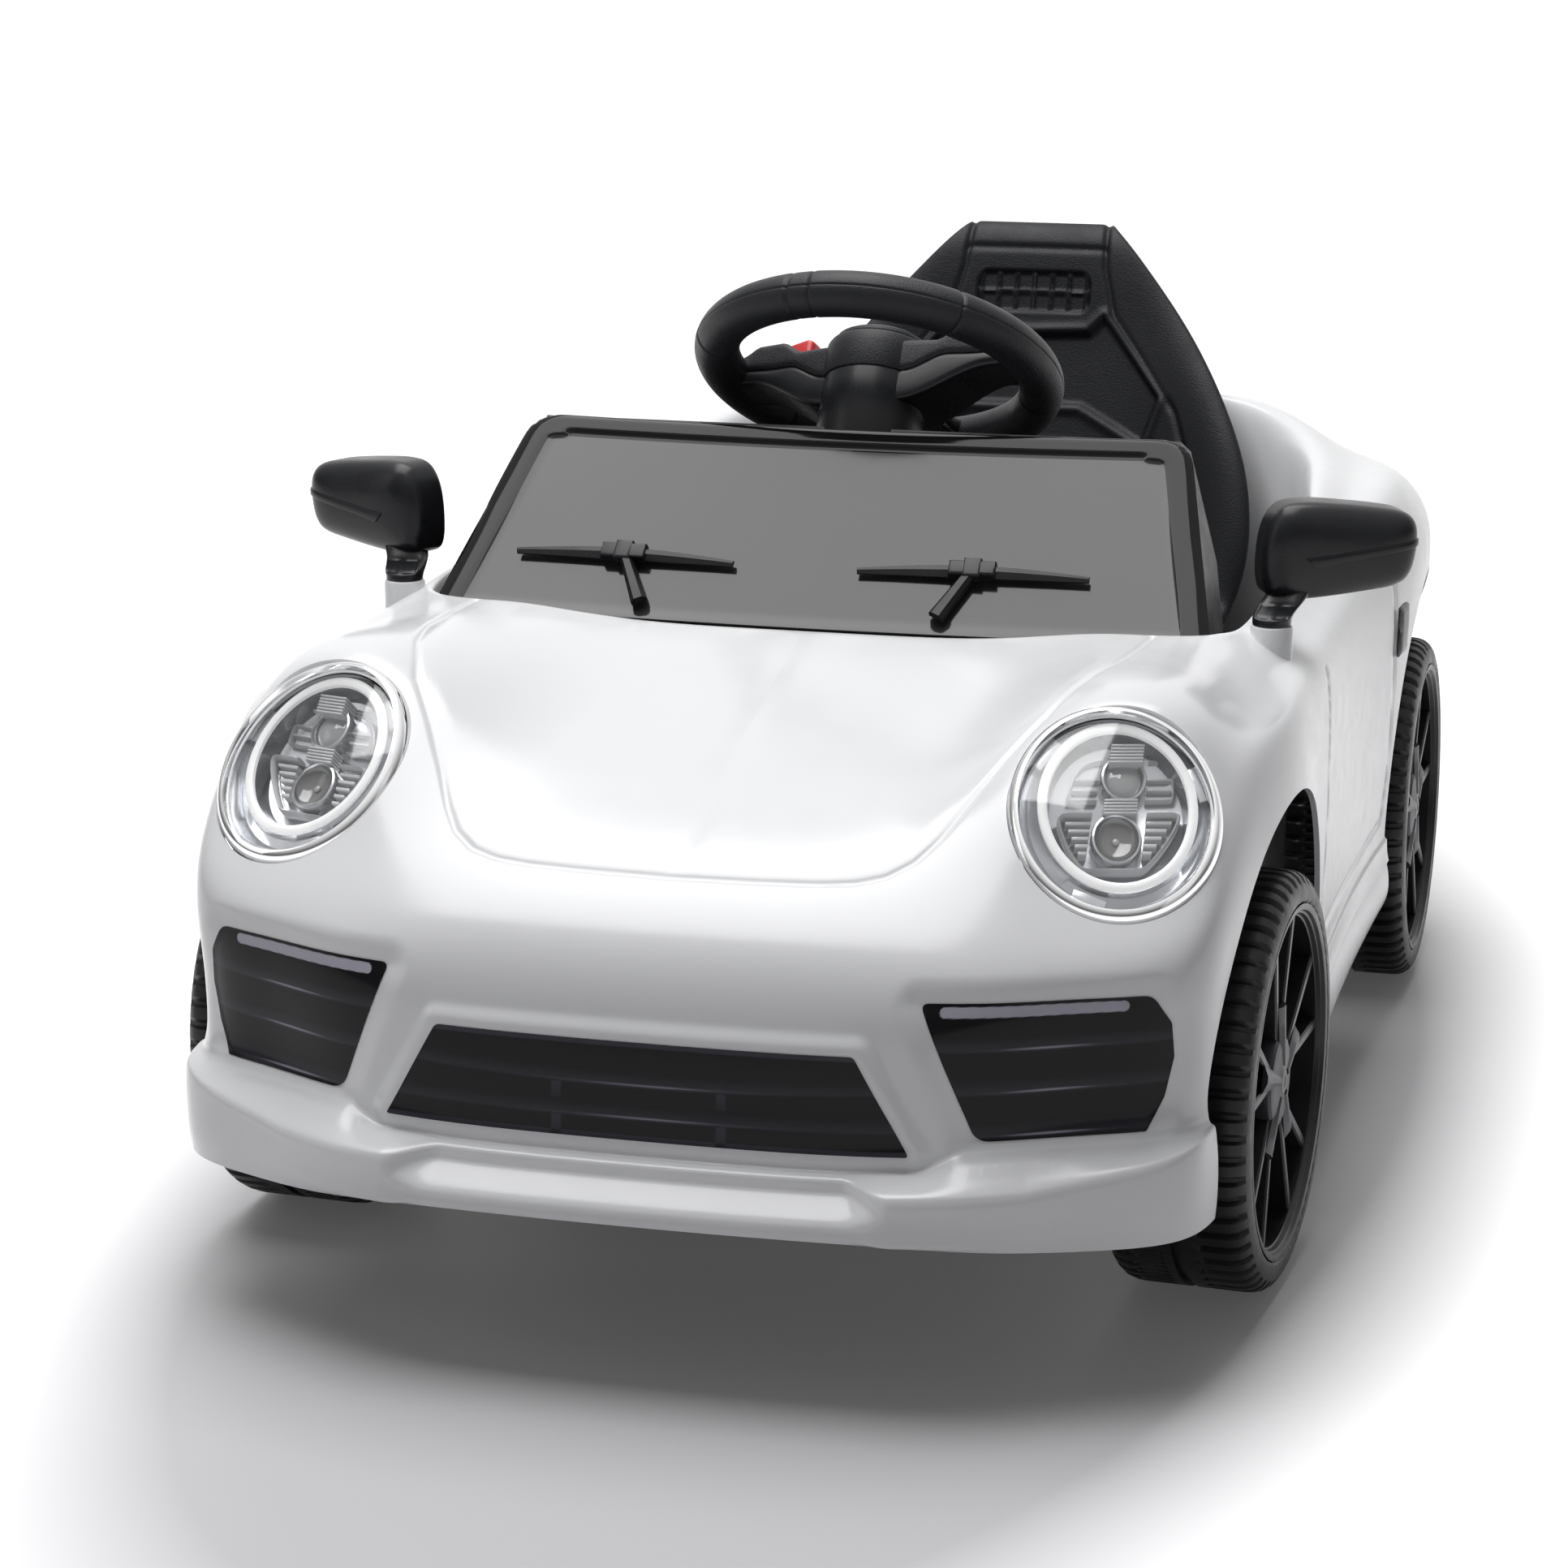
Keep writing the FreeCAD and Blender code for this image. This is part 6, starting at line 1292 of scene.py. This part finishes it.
def make_floor():
    mesh = bpy.data.meshes.new("floor")
    spots = np.linspace(-40.0, 40.0, 9)
    mesh.from_pydata([(x, y, -0.0005) for x in spots for y in spots], [], sheet(9, 9))
    floor = bpy.data.objects.new("floor", mesh)
    bpy.context.scene.collection.objects.link(floor)
    material = bpy.data.materials.new("floor_white")
    material.use_nodes = True
    tree = material.node_tree
    shader = tree.nodes["Principled BSDF"]
    shader.inputs["Base Color"].default_value = (0.55, 0.547, 0.565, 1)
    shader.inputs["Roughness"].default_value = 0.5
    # The floor glows more away from the object, so that it goes to white behind it
    place = node(tree, "ShaderNodeNewGeometry")
    wide = node(tree, "ShaderNodeVectorMath", "MULTIPLY")
    wide.inputs[1].default_value = (2.5, 1.0, 0.0)
    far = node(tree, "ShaderNodeVectorMath", "LENGTH")
    tree.links.new(place.outputs["Position"], wide.inputs[0])
    tree.links.new(wide.outputs[0], far.inputs[0])
    level = node(tree, "ShaderNodeMath", "MULTIPLY")
    tree.links.new(ranged(tree, far.outputs["Value"], 0.06, 0.85, 0.78, 1.06), level.inputs[0])
    tree.links.new(seen_rays(tree)[1], level.inputs[1])
    glow = node(tree, "ShaderNodeEmission")
    tree.links.new(level.outputs[0], glow.inputs["Strength"])
    add = node(tree, "ShaderNodeAddShader")
    tree.links.new(shader.outputs[0], add.inputs[0])
    tree.links.new(glow.outputs[0], add.inputs[1])
    tree.links.new(add.outputs[0], tree.nodes["Material Output"].inputs["Surface"])
    mesh.materials.append(material)


def make_room():
    # The room is white behind and above the object and darker in front of it
    world = bpy.data.worlds.new("studio")
    bpy.context.scene.world = world
    world.use_nodes = True
    tree = world.node_tree
    back = tree.nodes["Background"]
    back.inputs["Color"].default_value = (1, 1, 1, 1)
    coords = node(tree, "ShaderNodeTexCoord")
    split = node(tree, "ShaderNodeSeparateXYZ")
    tree.links.new(coords.outputs["Generated"], split.inputs[0])
    above = ranged(tree, split.outputs["Z"], 0.16, 1.0, 0.2, 0.85)
    behind = ranged(tree, split.outputs["Y"], 0.0, 1.0, 0.1, 0.7)
    clear, seen = seen_rays(tree)
    strength = node(tree, "ShaderNodeMapRange")
    strength.inputs["To Min"].default_value = 0.1
    tree.links.new(maximum(tree, maximum(tree, above, behind), clear), strength.inputs["To Max"])
    tree.links.new(seen, strength.inputs["Value"])
    tree.links.new(strength.outputs["Result"], back.inputs["Strength"])


def area_light(name, place, aim, size, power):
    data = bpy.data.lights.new(name, "AREA")
    data.shape = "RECTANGLE"
    data.size, data.size_y = size
    data.energy = power
    obj = bpy.data.objects.new(name, data)
    bpy.context.scene.collection.objects.link(obj)
    obj.location = place
    obj.rotation_euler = (Vector(aim) - Vector(place)).to_track_quat("-Z", "Y").to_euler()


make_floor()
make_room()
area_light("key", (-0.35, 0.05, 2.4), (0, 0.0, 0.2), (2.3, 1.7), 62)
area_light("left_fill", (2.0, -1.4, 1.0), (0, -0.2, 0.25), (0.9, 1.4), 1)
area_light("right_fill", (-2.0, -1.2, 1.2), (0, -0.2, 0.25), (0.9, 1.4), 3)

# The camera was fitted to the photo: focal length and frame in its pixels, then pitch and yaw
focal_pixels, frame_pixels, sensor = 5130.58, 1932.0, 36.0
camera_pitch, camera_yaw = 0.2447, 0.2607
camera = bpy.data.cameras.new("camera")
camera.lens = sensor * focal_pixels / frame_pixels
camera.sensor_width = sensor
camera.clip_end = 100.0
camera_obj = bpy.data.objects.new("camera", camera)
bpy.context.scene.collection.objects.link(camera_obj)
camera_obj.location = (0.56003, -2.31273, 0.78143)
camera_obj.rotation_euler = (math.pi / 2 - camera_pitch, 0.0, camera_yaw)
bpy.context.scene.camera = camera_obj
bpy.context.scene.view_settings.view_transform = "Standard"
